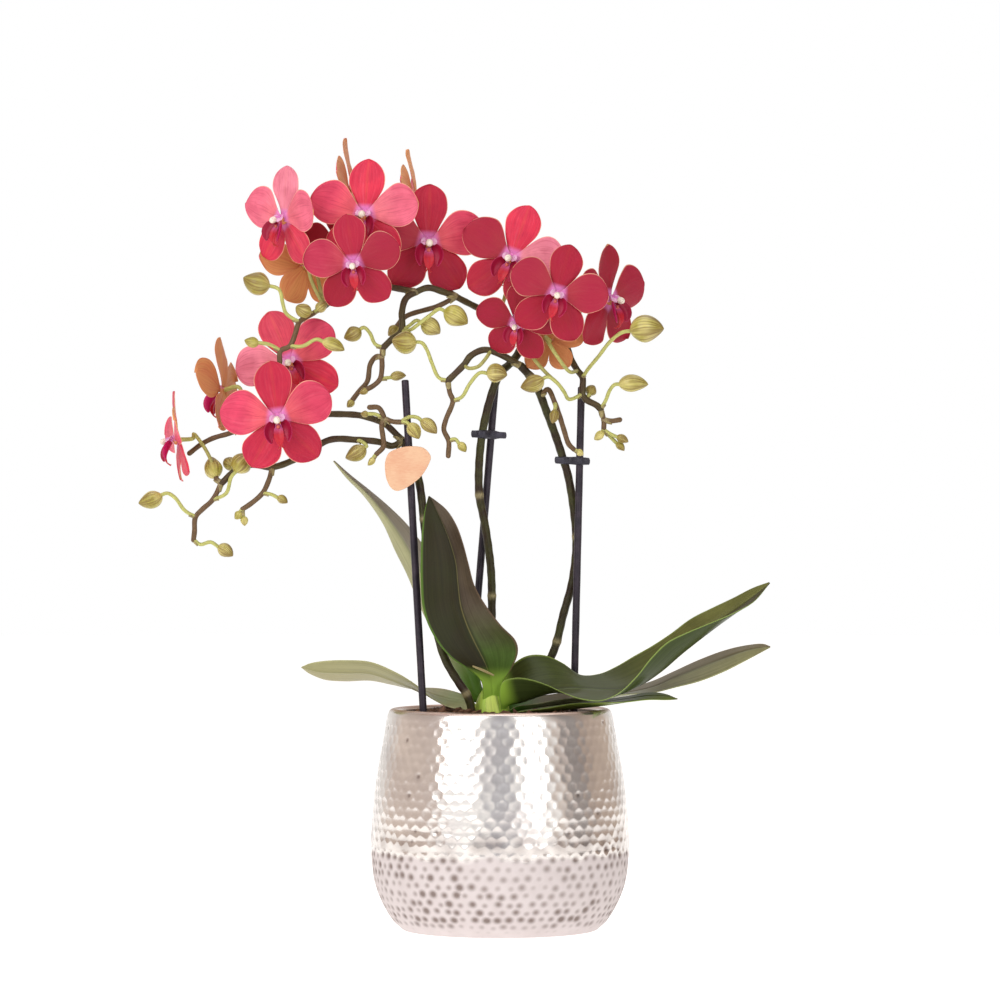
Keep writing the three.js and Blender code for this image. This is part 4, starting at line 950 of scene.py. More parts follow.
SPIKES = {
    "a": (
        Stem(Size.MAIN, ((-13.5, -9, 93), (-14, -9, 109), (-16.5, -9.5, 117.6),
             (-20.5, -9.5, 123.6), (-28, -9, 137), (-34, -7.5, 164), (-38, -4, 205),
             (-40.5, -1.2, 224), (-44, 0, 236), (-48.5, 0, 244))),
        Stem(Size.ARM, ((-48.5, 0, 244), (-54, 0, 249.6), (-58, 0, 253), (-65, 1, 255.6),
             (-70.5, 2, 257), (-85, 2, 257.6), (-97, 2, 257), (-110, 2, 254.6), (-129, 2, 250))),
        Stem(Size.BRANCH, ((-129, 2, 250), (-136.5, 2, 247.6), (-143.5, 3, 245.6),
             (-149.5, 4, 242.6), (-155.5, 4, 238))),
        Stem(Size.ARM, ((-48.5, 0, 244), (-54, -2, 241.6), (-60.5, -3, 243.6), (-71.5, -4, 244.6),
             (-85, -4, 244.6), (-100, -4, 236), (-113.5, -4, 231), (-124, -4, 232.2),
             (-131.5, -4, 229.6), (-139, -4, 223))),
        Stem(Size.BRANCH, ((-139, -4, 223), (-143.5, -4, 214.6), (-148.5, -4, 210), (-152, -4, 206),
             (-152.5, -4, 198.6), (-153, -4, 194.6))),
        Stem(Size.PEDICEL, ((-153, -4, 194.6), (-149.5, -4, 192.4), (-144.5, -4, 193.6),
             (-140, -4, 190.8)), bud=(9, 7)),
        Stem(Size.PEDICEL, ((-152, -4, 206), (-157.5, -5, 209.6), (-162, -5, 215.6),
             (-166, -5, 218), (-170, -5, 216.6)), bud=(12.5, 9)),
        Stem(Size.PEDICEL, ((-143.5, -4, 214.6), (-136.5, -6, 218), (-134, -7, 226),
             (-131, -7, 229.4)), bud=(11.5, 11)),
        Stem(Size.BRANCH, ((-139, -4, 223), (-141.5, -3, 225), (-142, -2, 227)), bud=(12, 9.5)),
        Stem(Size.PEDICEL, ((-131.5, -4, 229.6), (-133, 0, 231), (-134, 2, 232)), bud=(9, 7)),
        Stem(Size.BRANCH, ((-113.5, -4, 231), (-115.5, -5, 224), (-118.5, -5, 218), (-124, -5, 213),
             (-128.5, -5, 210))),
        Stem(Size.PEDICEL, ((-128.5, -5, 210), (-129.6, -5, 208.6)), bud=(5, 4.4)),
        Stem(Size.PEDICEL, ((-128.5, -5, 210), (-128, -5, 206)), bud=(5, 4)),
        Stem(Size.PEDICEL, ((-118.5, -5, 218), (-114, -6, 217.4),
             (-110.6, -6, 215.6)), bud=(6, 4.6)),
        Stem(Size.PEDICEL, ((-71.5, -4, 244.6), (-68.4, -7, 243.4), (-66.4, -8, 241.4), (-68.2, -8, 240.4)),
             bud=(11.5, 8.4)),
        Stem(Size.BRANCH, ((-58, 0, 253), (-57.6, -5, 255), (-60.5, -7, 260.6), (-65, -7, 260.8))),
        Stem(Size.BRANCH, ((-57.6, -5, 255), (-53, -8, 253.6), (-49.4, -9.6, 253.4))),
        Stem(Size.PEDICEL, ((-49.4, -9.6, 253.4), (-45, -10, 256), (-41, -10, 255.6),
             (-38.6, -10, 253.6)), bud=(10.5, 7)),
        Stem(Size.PEDICEL, ((-49.4, -9.6, 253.4), (-46, -11, 253),
             (-45, -11.4, 251.6)), bud=(9.5, 7)),
        Stem(Size.BRANCH, ((-57.6, -5, 255), (-59, -7, 252), (-58.4, -7.6, 246.6),
             (-58, -7.6, 241.4), (-61.6, -7.6, 237.4))),
        Stem(Size.PEDICEL, ((-61.6, -7.6, 237.4), (-63, -7.6, 235.6)), bud=(5.4, 3.4)),
        Stem(Size.PEDICEL, ((-57.6, -5, 255), (-62, -6, 257.4), (-66, -6, 257.6)), bud=(4, 3.6)),
    ),
    "b": (
        Stem(Size.MAIN, ((-3, 13.5, 93), (-3, 14, 120), (-4, 13, 150), (-4.5, 10.5, 179),
             (-7.5, 8.8, 202), (-10.5, 7.5, 218.6), (-9.4, 6.5, 244.6), (-4.5, 5.4, 266.6),
             (0.5, 6, 279), (4, 8, 282), (9, 12, 288), (12, 16, 296), (10, 19, 302.5),
             (3, 19.5, 306.5), (-5.5, 18, 308.6))),
        Stem(Size.ARM, ((12, 16, 296), (20, 16, 300), (28, 13, 298), (33, 10, 292.6),
             (36, 8.5, 284.6), (39, 7, 279.4), (41.4, 6, 276), (41.4, 5, 267.6), (43, 5, 265),
             (48.5, 5, 262), (50.5, 5, 260))),
        Stem(Size.BRANCH, ((50.5, 5, 260), (52, 5, 254.6), (52, 5, 249.6))),
        Stem(Size.PEDICEL, ((52, 5, 249.6), (51, 4, 248.6)), bud=(7.5, 4.4)),
        Stem(Size.PEDICEL, ((52, 5, 249.6), (55.5, 4, 247.6), (59, 4, 246)), bud=(6.6, 4.6)),
        Stem(Size.PEDICEL, ((52, 5, 249.6), (56, 7, 245.6), (58.6, 7, 243)), bud=(6, 4)),
        Stem(Size.BRANCH, ((52, 5, 254.6), (56, 5, 254.2), (60, 5, 254.8))),
        Stem(Size.PEDICEL, ((41.4, 6, 276), (44, 0, 280), (49, -8, 286), (55, -13, 293.6),
             (61, -16, 298), (66.6, -17, 298.4)), bud=(17, 14)),
        Stem(Size.PEDICEL, ((50.5, 5, 260), (53, 4, 264.6), (55, 3, 269.6), (57.5, 2, 272.4),
             (61, 2, 272.4)), bud=(15, 9)),
        Stem(Size.PEDICEL, ((41.4, 5, 267.6), (34.5, 1, 265), (32, -3, 268.6), (28.5, -6, 273),
             (24, -7.5, 276), (20.4, -8, 274.6)), bud=(12.5, 9)),
        Stem(Size.PEDICEL, ((43, 5, 265), (45, 7, 268)), bud=(6, 6)),
        Stem(Size.ARM, ((-5.5, 18, 308.6), (-14, 12, 312.6), (-22, 7, 316.6), (-27.5, 12.5, 320.6),
             (-33.5, 13, 326))),
        Stem(Size.ARM, ((-22, 7, 316.6), (-29, 4, 319), (-36, 2, 320.8), (-42, 1, 318.6),
             (-47, 0, 315.4), (-49, 0, 309), (-49.3, 0, 299), (-54.5, 0, 294.6),
             (-58.5, 0, 290.6))),
        Stem(Size.BRANCH, ((-58.5, 0, 290.6), (-59, 0, 286), (-59, 0, 280.6), (-60, 0, 275),
             (-63.5, 0, 271.6), (-66.5, 0, 270)), bud=(5, 3.6)),
        Stem(Size.PEDICEL, ((-60, 0, 275), (-57, 1, 275.6), (-54, 2, 276)), bud=(8.4, 5)),
        Stem(Size.BRANCH, ((-22, 7, 316.6), (-31, 9, 312), (-47.5, 9, 306.6),
             (-52, 9, 301.6)), bud=(7, 6)),
        Stem(Size.BRANCH, ((-59, 0, 286), (-62, 3, 286.4), (-65, 5, 282.6), (-66.5, 5, 274),
             (-71, 5, 268.6), (-74, 5, 264.6)), bud=(5, 4)),
        Stem(Size.PEDICEL, ((-58.5, 0, 290.6), (-62.5, -1, 292.6), (-65, -2, 298), (-68, -2, 300.8),
             (-70.6, -2, 299.4)), bud=(9.5, 8)),
        Stem(Size.PEDICEL, ((-49.3, 0, 299), (-44.5, -4, 299.6), (-41, -6, 302), (-35, -7, 306.6),
             (-30, -8, 309.8), (-26.6, -8, 308)), bud=(13.5, 11)),
        Stem(Size.PEDICEL, ((-49.3, 0, 299), (-45, -1, 302), (-41.6, 0, 304.4),
             (-38.4, 0, 302.6)), bud=(11, 9.6)),
        Stem(Size.ARM, ((-42, 1, 318.6), (-54, 4, 321), (-66, 5, 322.4), (-80, 4, 317.4),
             (-88, 2, 311.6))),
        Stem(Size.BRANCH, ((-88, 2, 311.6), (-93.5, -4, 307.6), (-100, -10, 303),
             (-102, -13, 296.6), (-104.5, -15, 291), (-109, -16, 288.6), (-109.4, -16, 282.6))),
        Stem(Size.PEDICEL, ((-109.4, -16, 282.6), (-109.2, -16, 281)), bud=(4.6, 4)),
        Stem(Size.PEDICEL, ((-100, -10, 303), (-106.5, -11, 307.6), (-108, -11, 312),
             (-110, -12, 319.4), (-116, -12, 321.4)), bud=(14, 12)),
        Stem(Size.PEDICEL, ((-104.5, -15, 291), (-98, -16, 291), (-91, -16, 294.4),
             (-87, -16, 292.8)), bud=(12, 7)),
        Stem(Size.PEDICEL, ((-109, -16, 288.6), (-114, -16, 291.6),
             (-120.5, -16, 292.8)), bud=(7.4, 5.6)),
        Stem(Size.PEDICEL, ((-93.5, -4, 307.6), (-95.4, -6, 308.4)), bud=(10, 7.5)),
        Stem(Size.PEDICEL, ((-93.5, -4, 307.6), (-91, -3, 309.4)), bud=(7, 5.6)),
    ),
    "c": (
        Stem(Size.MAIN, ((7, 14.5, 93), (9, 16.5, 110), (16, 19, 121), (26.5, 20, 137),
             (32, 20.5, 157), (36.5, 20.6, 173.6), (38.5, 20.4, 192.6), (37.5, 20, 207),
             (34.5, 18.8, 226), (31.6, 17.4, 236), (27, 13, 249.6), (23, 8.5, 260),
             (20.5, 6, 266.6), (16.5, 2.5, 274.6), (10.5, 0, 281.6))),
        Stem(Size.ARM, ((10.5, 0, 281.6), (1.5, -3, 286.6), (-7.5, -4, 289.6), (-14.5, -5, 286.6),
             (-18, -6, 282), (-26, -6, 274))),
        Stem(Size.BRANCH, ((20.5, 6, 266.6), (24, 2, 270), (27.5, 0, 263), (30, 0, 256),
             (32, 1, 249.6), (34.4, 3, 242.6), (37, 5, 240))),
        Stem(Size.PEDICEL, ((37, 5, 240), (38.6, 5.4, 239)), bud=(4.4, 3.6)),
        Stem(Size.PEDICEL, ((27.5, 0, 263), (27.6, -3, 261), (27.2, -4, 259)), bud=(8, 5)),
        Stem(Size.BRANCH, ((-26, -6, 274), (-25, -6, 268), (-23.5, -6, 264), (-27, -6, 254.6),
             (-28, -6, 249.6), (-25.6, -6, 244), (-25.8, -6, 236.6))),
        Stem(Size.PEDICEL, ((-26, -6, 274), (-30.5, -6, 275.6), (-34, -6, 283), (-36.5, -6, 289.6),
             (-39, -6, 293), (-43, -6, 293.4)), bud=(12.5, 12)),
        Stem(Size.PEDICEL, ((-23.5, -6, 264), (-19, -7, 266), (-15, -8, 272.6), (-10, -8, 278),
             (-5.6, -8, 277.6)), bud=(10.5, 10)),
        Stem(Size.PEDICEL, ((-25.6, -6, 244), (-22.4, -6, 245), (-20.4, -6, 242.6)), bud=(6, 4.5)),
    ),
}

# each leaf from the crown to its tip: points of the first margin, the midrib and the second margin
LEAVES = {
    "leaf_front": (
        ((1, -4, 114), (-4, -3, 112), (-8.5, -5, 114)),
        ((1, -9, 123), (-4, -8, 120.9), (-9.5, -12, 124.6)),
        ((6, -14, 131.1), (-6.5, -12.5, 131.1), (-16.9, -19, 131.5)),
        ((8.9, -17.5, 139.2), (-9.9, -15, 138.6), (-23.8, -21.5, 136.3)),
        ((7.7, -20, 144.7), (-12.9, -16.5, 144.6), (-29.7, -22.5, 142.8)),
        ((0.5, -23.5, 152.2), (-16.6, -17.5, 153.1), (-35.4, -23, 152.7)),
        ((-6.9, -26, 162), (-19.4, -17.5, 162), (-38.3, -23.5, 162.1)),
        ((-12.6, -27, 172.1), (-20.7, -17.5, 172.4), (-39.2, -23.5, 172.5)),
        ((-15.7, -26.5, 183.5), (-21.8, -17, 183.3), (-39.4, -22.5, 183.9)),
        ((-18.4, -24.5, 193.3), (-24.6, -16.5, 193.3), (-39, -21.5, 194.3)),
        ((-21.8, -21.5, 202.2), (-28.1, -16, 202.2), (-38.2, -20, 202.7)),
        ((-26.5, -18.5, 209.6), (-31.6, -15.7, 209.6), (-37.2, -18, 209.6)),
        ((-32, -16.2, 214.4), (-33.8, -15.5, 214.4), (-36.1, -16.4, 214.4)),
        ((-34.8, -15.5, 216.4), (-35.2, -15.4, 216.6), (-35.6, -15.5, 216.4)),
    ),
    "leaf_back_left": (
        ((-4, 6, 113), (-7, 5, 111), (-9, 6.5, 113)),
        ((-8.5, 10, 119.2), (-12, 6, 119.4), (-16.1, 11, 114.1)),
        ((-11.6, 13, 132.1), (-17.6, 11, 133.2), (-22.2, 16, 128)),
        ((-18.6, 16.5, 151.7), (-25.7, 15.5, 150.2), (-32.3, 20, 145)),
        ((-26.2, 21.5, 168.2), (-33.3, 19, 165.7), (-39.9, 23, 159.6)),
        ((-35.4, 26, 186.3), (-41.4, 22, 180.8), (-46.5, 27, 175.1)),
        ((-46.2, 29, 200.9), (-49.5, 24, 195.4), (-53.2, 29, 188.3)),
        ((-55.7, 31, 210.6), (-57.4, 26, 206.3), (-59.8, 30.5, 202.9)),
        ((-66.1, 31.5, 219.7), (-67.3, 27.5, 217.9), (-68.7, 31, 216.1)),
        ((-76.2, 30, 227.8), (-77.2, 28.4, 227.2), (-78.5, 30, 226.4)),
        ((-83.7, 28.3, 234.5), (-84.2, 28, 234.4), (-84.5, 28.3, 234.1)),
    ),
    "leaf_left": (
        ((-9, 2.5, 108), (-9, 0, 106.5), (-8, -4, 107.5)),
        ((-15, 6, 115.3), (-16, 2, 112.8), (-16.5, -3, 110)),
        ((-25.6, 12.5, 119.2), (-26.1, 6.5, 114.6), (-26, -2, 111.4)),
        ((-35.3, 18, 120.1), (-35.1, 9, 117), (-34, -1, 115.1)),
        ((-44.4, 21, 119.5), (-44.2, 11, 120.9), (-43, 0.5, 122.3)),
        ((-54, 23.5, 121.2), (-54.8, 12.5, 124.9), (-53.5, 1.5, 128.6)),
        ((-65.7, 25, 123.1), (-65.9, 13, 128.2), (-65, 1.5, 133.4)),
        ((-78.3, 24.5, 122.6), (-78.5, 13.5, 128.5), (-77.6, 2.5, 134.4)),
        ((-88.8, 21.5, 123.6), (-89, 13.5, 128.8), (-88.2, 5.5, 134)),
        ((-95.7, 17.5, 126.8), (-95.8, 13.3, 129.8), (-95.4, 9.5, 132.7)),
        ((-99.6, 13.8, 130), (-99.9, 13, 130.4), (-99.5, 12.4, 130.9)),
    ),
    "leaf_right": (
        ((1, -8, 107), (-2, -2, 104.5), (-1, 4, 109)),
        ((0.7, -13, 123.4), (3.5, -7.5, 112.9), (1.8, 1, 124.6)),
        ((6.9, -17.5, 126.1), (10.5, -9.5, 114.8), (6, -0.5, 131.9)),
        ((14.4, -22, 125.5), (17.9, -11.5, 117.3), (13.5, -2, 136.7)),
        ((22.7, -26, 122.8), (26.3, -13.5, 119.7), (22.5, -3, 136.9)),
        ((30.6, -29.5, 119.2), (34.8, -15.5, 120.5), (31, -3.5, 133.1)),
        ((39.4, -32, 116.2), (43.2, -17, 120.6), (39.9, -3, 127.1)),
        ((49.8, -33, 115.4), (51.6, -17.5, 120.1), (49.5, -1.5, 127.4)),
        ((58.7, -32, 119.2), (60.6, -16.8, 120.3), (58, -0.5, 131)),
        ((67.1, -30, 127), (69.5, -15, 123.6), (67, 0.5, 136.3)),
        ((75.1, -27.5, 136.8), (79.5, -13, 130.2), (76, 1, 141.4)),
        ((82.6, -25, 143.9), (89.5, -11.5, 138.7), (85.6, 1.5, 147.7)),
        ((92.1, -22, 148.5), (99.6, -10, 146.6), (95.5, 1, 155.1)),
        ((103.7, -18.5, 153), (109.6, -8.5, 154), (106, 0, 160.5)),
        ((115.8, -14.5, 157.8), (119.6, -7.5, 161), (116.4, -1.5, 165.5)),
        ((126.4, -10.5, 163.7), (128.1, -6.6, 167.5), (126.3, -3.4, 170.7)),
        ((134.1, -6.4, 172.5), (134.6, -6, 173.1), (134.2, -5.6, 173.7)),
    ),
    "leaf_right_back": (
        ((1, -2, 106), (1, 2, 104), (1, 6, 108)), ((7, -4, 111.5), (8, 1, 108.8), (7, 7, 113.3)),
        ((19, -6, 113.6), (20.5, 1.5, 110.3), (19.1, 10, 115.7)),
        ((29.9, -6.5, 115.6), (33, 2, 112.5), (32.2, 11, 117.6)),
        ((45.9, -6, 117.1), (48.1, 3, 115), (47.2, 12, 119.1)),
        ((62.4, -5, 117.8), (64.1, 4, 117.5), (63.4, 14, 120.3)),
        ((77.4, -4, 118.4), (77.2, 5, 120.5), (75.5, 15.5, 123.2)),
        ((87.9, -3, 120.7), (88.2, 6, 125.3), (87.6, 16, 128.3)),
        ((99.9, -2, 123.7), (101.3, 7, 130.5), (98.7, 16, 133.2)),
        ((112, 0.5, 128.4), (113.9, 7.8, 135.4), (111.7, 14.5, 138.2)),
        ((123.2, 4, 134), (124.9, 8, 139.2), (123.6, 12, 141.4)),
        ((131.9, 6.6, 138.6), (132.5, 8, 140.7), (132, 9.2, 142.4)),
        ((135.5, 7.8, 140.5), (135.7, 8, 140.9), (135.5, 8.2, 141.3)),
    ),
    "leaf_right_low": (
        ((3, -10, 107.6), (3, -6, 106.4), (3, -2.5, 107.2)),
        ((10.9, -17, 109.6), (11.4, -12, 108.9), (11, -8, 109.5)),
        ((22.3, -20.5, 111), (23.8, -14.5, 110.1), (22.9, -10, 111.4)),
        ((36.1, -23, 113.6), (37.7, -16.5, 111.9), (36.8, -11, 113.4)),
        ((49.5, -24, 114.4), (51.6, -17, 113.6), (50.8, -11, 115.2)),
        ((62.4, -23.5, 114.6), (64.5, -17, 115.5), (63.2, -10.5, 117)),
        ((73.3, -21, 115.3), (75, -16, 117), (74.1, -11, 118.8)),
        ((82.4, -18, 115.3), (82.9, -15.5, 116.8), (82.5, -13, 118.2)),
        ((87.9, -15.3, 115.5), (88.4, -15, 115.8), (87.9, -14.7, 116.1)),
    ),
}

# deep and the tepal shades are partly each bloom's own colour and partly painted shade: blooms and tepals
# lying behind others, in shadow and turned from the light are painted darker, some lit ones paler
BLOOMS = {
    "bloom_01": Bloom((-108.5, 0, 355), -46, -4, -6, 50, "b", (-88, 2, 311.6),
                      via=((-94.5, 5, 324.6), (-97.5, 7, 338.6)), deep=-0.3,
                      shades=(-0.15, 0.3, 0.3, 0.05, 0.1)),
    "bloom_02": Bloom((-67.5, -8, 356.6), -10, 2, -3, 53, "b", (-66, 5, 322.4), deep=0.0,
                      shades=(0.05, 0.25, 0.3, -0.15, 0.05)),
    "bloom_03": Bloom((-72.5, -25, 331), -4, -8, 7, 47, "b", (-66, 5, 322.4), deep=0.5, plum=0.3,
                      shades=(0.1, 0.4, 0.12, 0.3, 0)),
    "bloom_04": Bloom((-36, 5.5, 343.6), 6, -2, -2, 55, "b", (-33.5, 13, 326), deep=0.56, plum=0.05,
                      shades=(-0.1, 0.2, 0.0, -0.32, 0.15)),
    "bloom_05": Bloom((-75.5, 24, 371), -96, -11, 4, 50, "b", (-66, 5, 322.4), deep=0.1),
    "bloom_06": Bloom((-43, 27, 367), -97, -13, 6, 48, "b", (-33.5, 13, 326), deep=0.1),
    "bloom_07": Bloom((5.5, -9, 335), -12, 0, -19, 52, "c", (-18, -6, 282),
                      via=((-15.5, -8.4, 280.2), (-11, -9, 281), (-7.2, -7.4, 285), (-4.4, -3.6, 290),
                           (-2.6, 1.5, 298), (2, 5, 315)), deep=0.1,
                      shades=(-0.05, 0.5, 0.45, -0.5, 0.75)),
    "bloom_08": Bloom((28, -28, 316), 2, -4, -16, 48, "b", (20, 16, 300), via=((24, 10, 314),), deep=0.72,
                      plum=0.2, shades=(0.05, 0, 0.1, 0, 0)),
    "bloom_09": Bloom((8.5, -15, 302), -16, -18, -10, 40, "b", (28.5, -6, 273),
                      via=((23, -6, 278), (17, -5, 285), (12.5, -4, 295)), deep=0.9, plum=0.2),
    "bloom_10": Bloom((55, 4, 315), 52, -4, 5, 52, "b", (20, 16, 300), via=((36, 15, 306),), deep=0.85,
                      plum=0.1),
    "bloom_11": Bloom((25, 1, 294), 165, -10, 0, 34, "b", (39, 7, 279.4),
                      via=((34, -8, 279), (28.5, -11, 286)), deep=0.8, plum=0.1),
    "bloom_12": Bloom((-105, 3, 283.6), -8, -2, 24, 52, "a", (-85, 2, 257.6), deep=-0.05,
                      shades=(0, -0.05, 0.15, 0.2, -0.3)),
    "bloom_13": Bloom((-110, -22, 254.8), -2, -4, 8, 54, "a", (-97, 2, 257), deep=0.13, plum=0.1,
                      shades=(0.22, 0.12, 0.34, 0.12, -0.05)),
    "bloom_14": Bloom((-139, 4, 269.6), -108, -8, 4, 50, "a", (-129, 2, 250), deep=0.4),
    "bloom_15": Bloom((-162, -2, 244.6), -80, -6, 8, 46, "a", (-142, -2, 227),
                      via=((-145, -3, 236), (-149.5, -3, 243.6), (-153, -2, 247.6)), deep=0.1),
    "bloom_16": Bloom((-99, 24, 332), -150, -16, 0, 46, "b", (-88, 2, 311.6), deep=0.2),
    "bloom_17": Bloom((-81, 4, 343), -22, 0, 4, 38, "b", (-80, 4, 317.4), deep=0.85),
}


@dataclass
class Cachepot:
    """The bellied pot: its outline by height, its hammered dents and its rounded rim."""

    outline: tuple = ((47.4, 0), (48.6, 0.3), (50.6, 2), (53.6, 4.8), (59.3, 14.4), (62.7, 23.9),
                      (64.1, 33.5), (64.6, 43.1), (64.2, 52.6), (63.5, 62.2), (62.4, 71.8), (60.9, 81.3),
                      (59.1, 90.9), (57.4, 100.5), (56.2, 107.2))
    rim: tuple = ((55.5, 109.1), (54.4, 110.1), (52.9, 110.5), (51.7, 110.1), (51.0, 108.8))
    floor: float = 6.0
    wall: float = 4.6
    cells: int = 65
    course: float = 4.45
    reach: float = 2.9
    seam: float = 39.0
    columns: int = 520
    step: float = 0.72

    def dents(self, angle: Array, run: Array, radius: Array) -> tuple[Array, Array]:
        """Where each point lies among the hammered dents.

        The dents lie in courses, each shifted by half a cell from the last, with their middles moved a
        little at random, and the nearest of nine counts. The random numbers are the fractions of large
        multiples of sines of the cell's own number.

        Args:
            angle: the angle of each point.
            run: the length up the outline of each point.
            radius: the radius of each point.

        Returns:
            The distance to the nearest dent's middle, and that dent's random number from 0 to 1.
        """
        column, row = angle / (2 * math.pi) * self.cells, run / self.course
        near = np.array([(i, j) for i in (-1, 0, 1) for j in (-1, 0, 1)]).T[:, :, None, None]
        course = np.round(row) + near[0]
        shift = 0.5 * np.mod(course, 2)
        cell = np.round(column - shift) + near[1]
        key = course * 127.1 + np.mod(cell, self.cells) * 311.7
        stray = [np.mod(np.sin(key + add) * 43758.5, 1) - 0.5 for add in (0.0, 1.7, 3.1)]
        across = (column - cell - shift - 0.3 * stray[0]) * 2 * math.pi * radius / self.cells
        upright = (row - course - 0.26 * stray[1]) * self.course
        far = np.hypot(0.9 * across, upright)
        nearest = far.argmin(axis=0)[None]
        return np.take_along_axis(far, nearest, 0)[0], np.take_along_axis(stray[2], nearest, 0)[0] + 0.5

    def relief(self, points: Array, run: Array) -> tuple[Array, Array, Array]:
        """The hammered face and the clay under its seam.

        A dent's depth is 0.026 times its reach squared less the distance squared, up to a third more in a
        crinkled band over the seam. A pit's depth is 0.6 mm times exp(-(distance / reach) squared), by a
        reach of 1.45 to 2.05 mm and a size that varies by dent and by patch and fades near the foot; the
        pits reach a little above the seam. Some dents of the glazed part have a dark speck, most of them a
        third of the way to each side, and the glaze has painted shade in patches for 7 mm over the seam,
        which stands in for a darker reflection there.

        Args:
            points: the face without its dents.
            run: the length up the outline of each row.

        Returns:
            The depth, the darkness of pits and specks with the painted shade over the seam, and the share of
            clay, each by row and column.
        """
        radius, height = np.hypot(points[..., 0], points[..., 1]), points[..., 2]
        angle = np.arctan2(points[..., 1], points[..., 0])
        far, number = self.dents(angle, run[:, None], radius)
        edge = self.seam + 1.5 * ripple(points, 8, 8) + 0.6 * ripple(points, 2.6, 9)
        share = np.clip((edge - height) / 2.8 + 0.5, 0, 1)
        clay = share**2 * (3 - 2 * share)
        pitted = np.clip((edge + 2.5 + 4 * ripple(points, 30, 12) - height) / 3 + 0.5, 0, 1)
        crinkle = 1 + 0.35 * np.exp(-(((height - self.seam - 6) / 6) ** 2))
        dish = 0.026 * crinkle * (0.6 + 0.8 * number) * np.maximum(self.reach**2 - far**2, 0)
        size = (0.55 + 0.45 * number) * np.clip(0.95 + 0.5 * ripple(points, 24, 4), 0.6, 1)
        size = size * np.clip((height - 1) / 7, 0, 1)
        pit = np.exp(-((far / (1.45 + 0.6 * number)) ** 2)) * size
        turned = np.degrees(np.abs(np.mod(angle + math.pi / 2 + math.pi, 2 * math.pi) - math.pi))
        speck = (number > 0.985 - 0.07 * np.exp(-(((turned - 36) / 12) ** 2))) * np.exp(-((far / 1.0) ** 2))
        patches = np.clip(1 + ripple(points, 5, 21), 0.3, 1.6)
        # painted shade: the glaze darkened in patches over the seam, standing in for a darker reflection
        painted_shade_band = 0.3 * patches * np.exp(-(((height - self.seam - 7) / 6) ** 2))
        dark = pitted * np.clip(1.6 * pit - 0.2, 0, 1) + (1 - pitted) * np.maximum(0.85 * speck, painted_shade_band)
        return (1 - clay) * (dish + 0.1 * speck) + pitted * 0.6 * pit, dark, clay

    def surface(self) -> Surface:
        """The whole pot: outline, dents, rim, inner wall and floor, turned about the Z axis.

        Returns:
            The closed surface. Its tones are the rim's crest, the darkness of pits and specks with painted
            shade over the seam, and the share of clay.
        """
        curve = smooth_route(tuple((r, z, 0.0) for r, z in (*self.outline, *self.rim[:1])), 0.3)[:, :2]
        run = lengths(curve)
        even = np.linspace(0, run[-1], int(run[-1] / self.step))
        side = np.stack([np.interp(even, run, curve[:, k]) for k in range(2)], axis=1)
        crest = smooth_route(tuple((r, z, 0.0) for r, z in self.rim), 0.6)[1:, :2]
        down = np.linspace(107.5, self.floor + 5, 12)
        inner = np.stack([np.interp(down, side[:, 1], side[:, 0]) - self.wall, down], axis=1)
        foot = inner[-1, 0]
        heel = np.array([[foot - 1.5, self.floor + 1.2], [foot - 5, self.floor], [12, self.floor]])
        profile = np.concatenate([side, crest, inner, heel])
        angle = 2 * math.pi * np.arange(self.columns) / self.columns
        ring = np.stack([np.cos(angle), np.sin(angle), np.zeros(self.columns)], axis=1)
        rings = profile[:, :1, None] * ring + profile[:, 1:, None] * np.array([0.0, 0.0, 1.0])
        count = len(side)
        depth, dark, clay = self.relief(rings[:count], even)
        fade = np.clip(np.minimum((even - 2.5) / 3, (run[-1] - 2.4 - even) / 2.4), 0, 1)[:, None]
        tone = np.zeros(rings.shape)
        tone[:, :, 0] = np.clip(1 - np.abs(profile[:, 1:] - 110.3) / 1.3, 0, 1) * (profile[:, :1] < 55.6)
        tone[:count, :, 1], tone[:count, :, 2], tone[count + len(crest):, :, 2] = dark * fade, clay, 0.7
        rings[:count] -= (depth * fade)[..., None] * ring
        return shell(rings, np.zeros_like(rings), tone)

    def build(self) -> bpy.types.Object:
        """Makes the pot."""
        return make_object("cachepot", self.surface())

    def dress(self, pot: bpy.types.Object) -> None:
        """Glazes it."""
        settle(pot, HammeredSilverGlaze().material(), "pot", "pot")


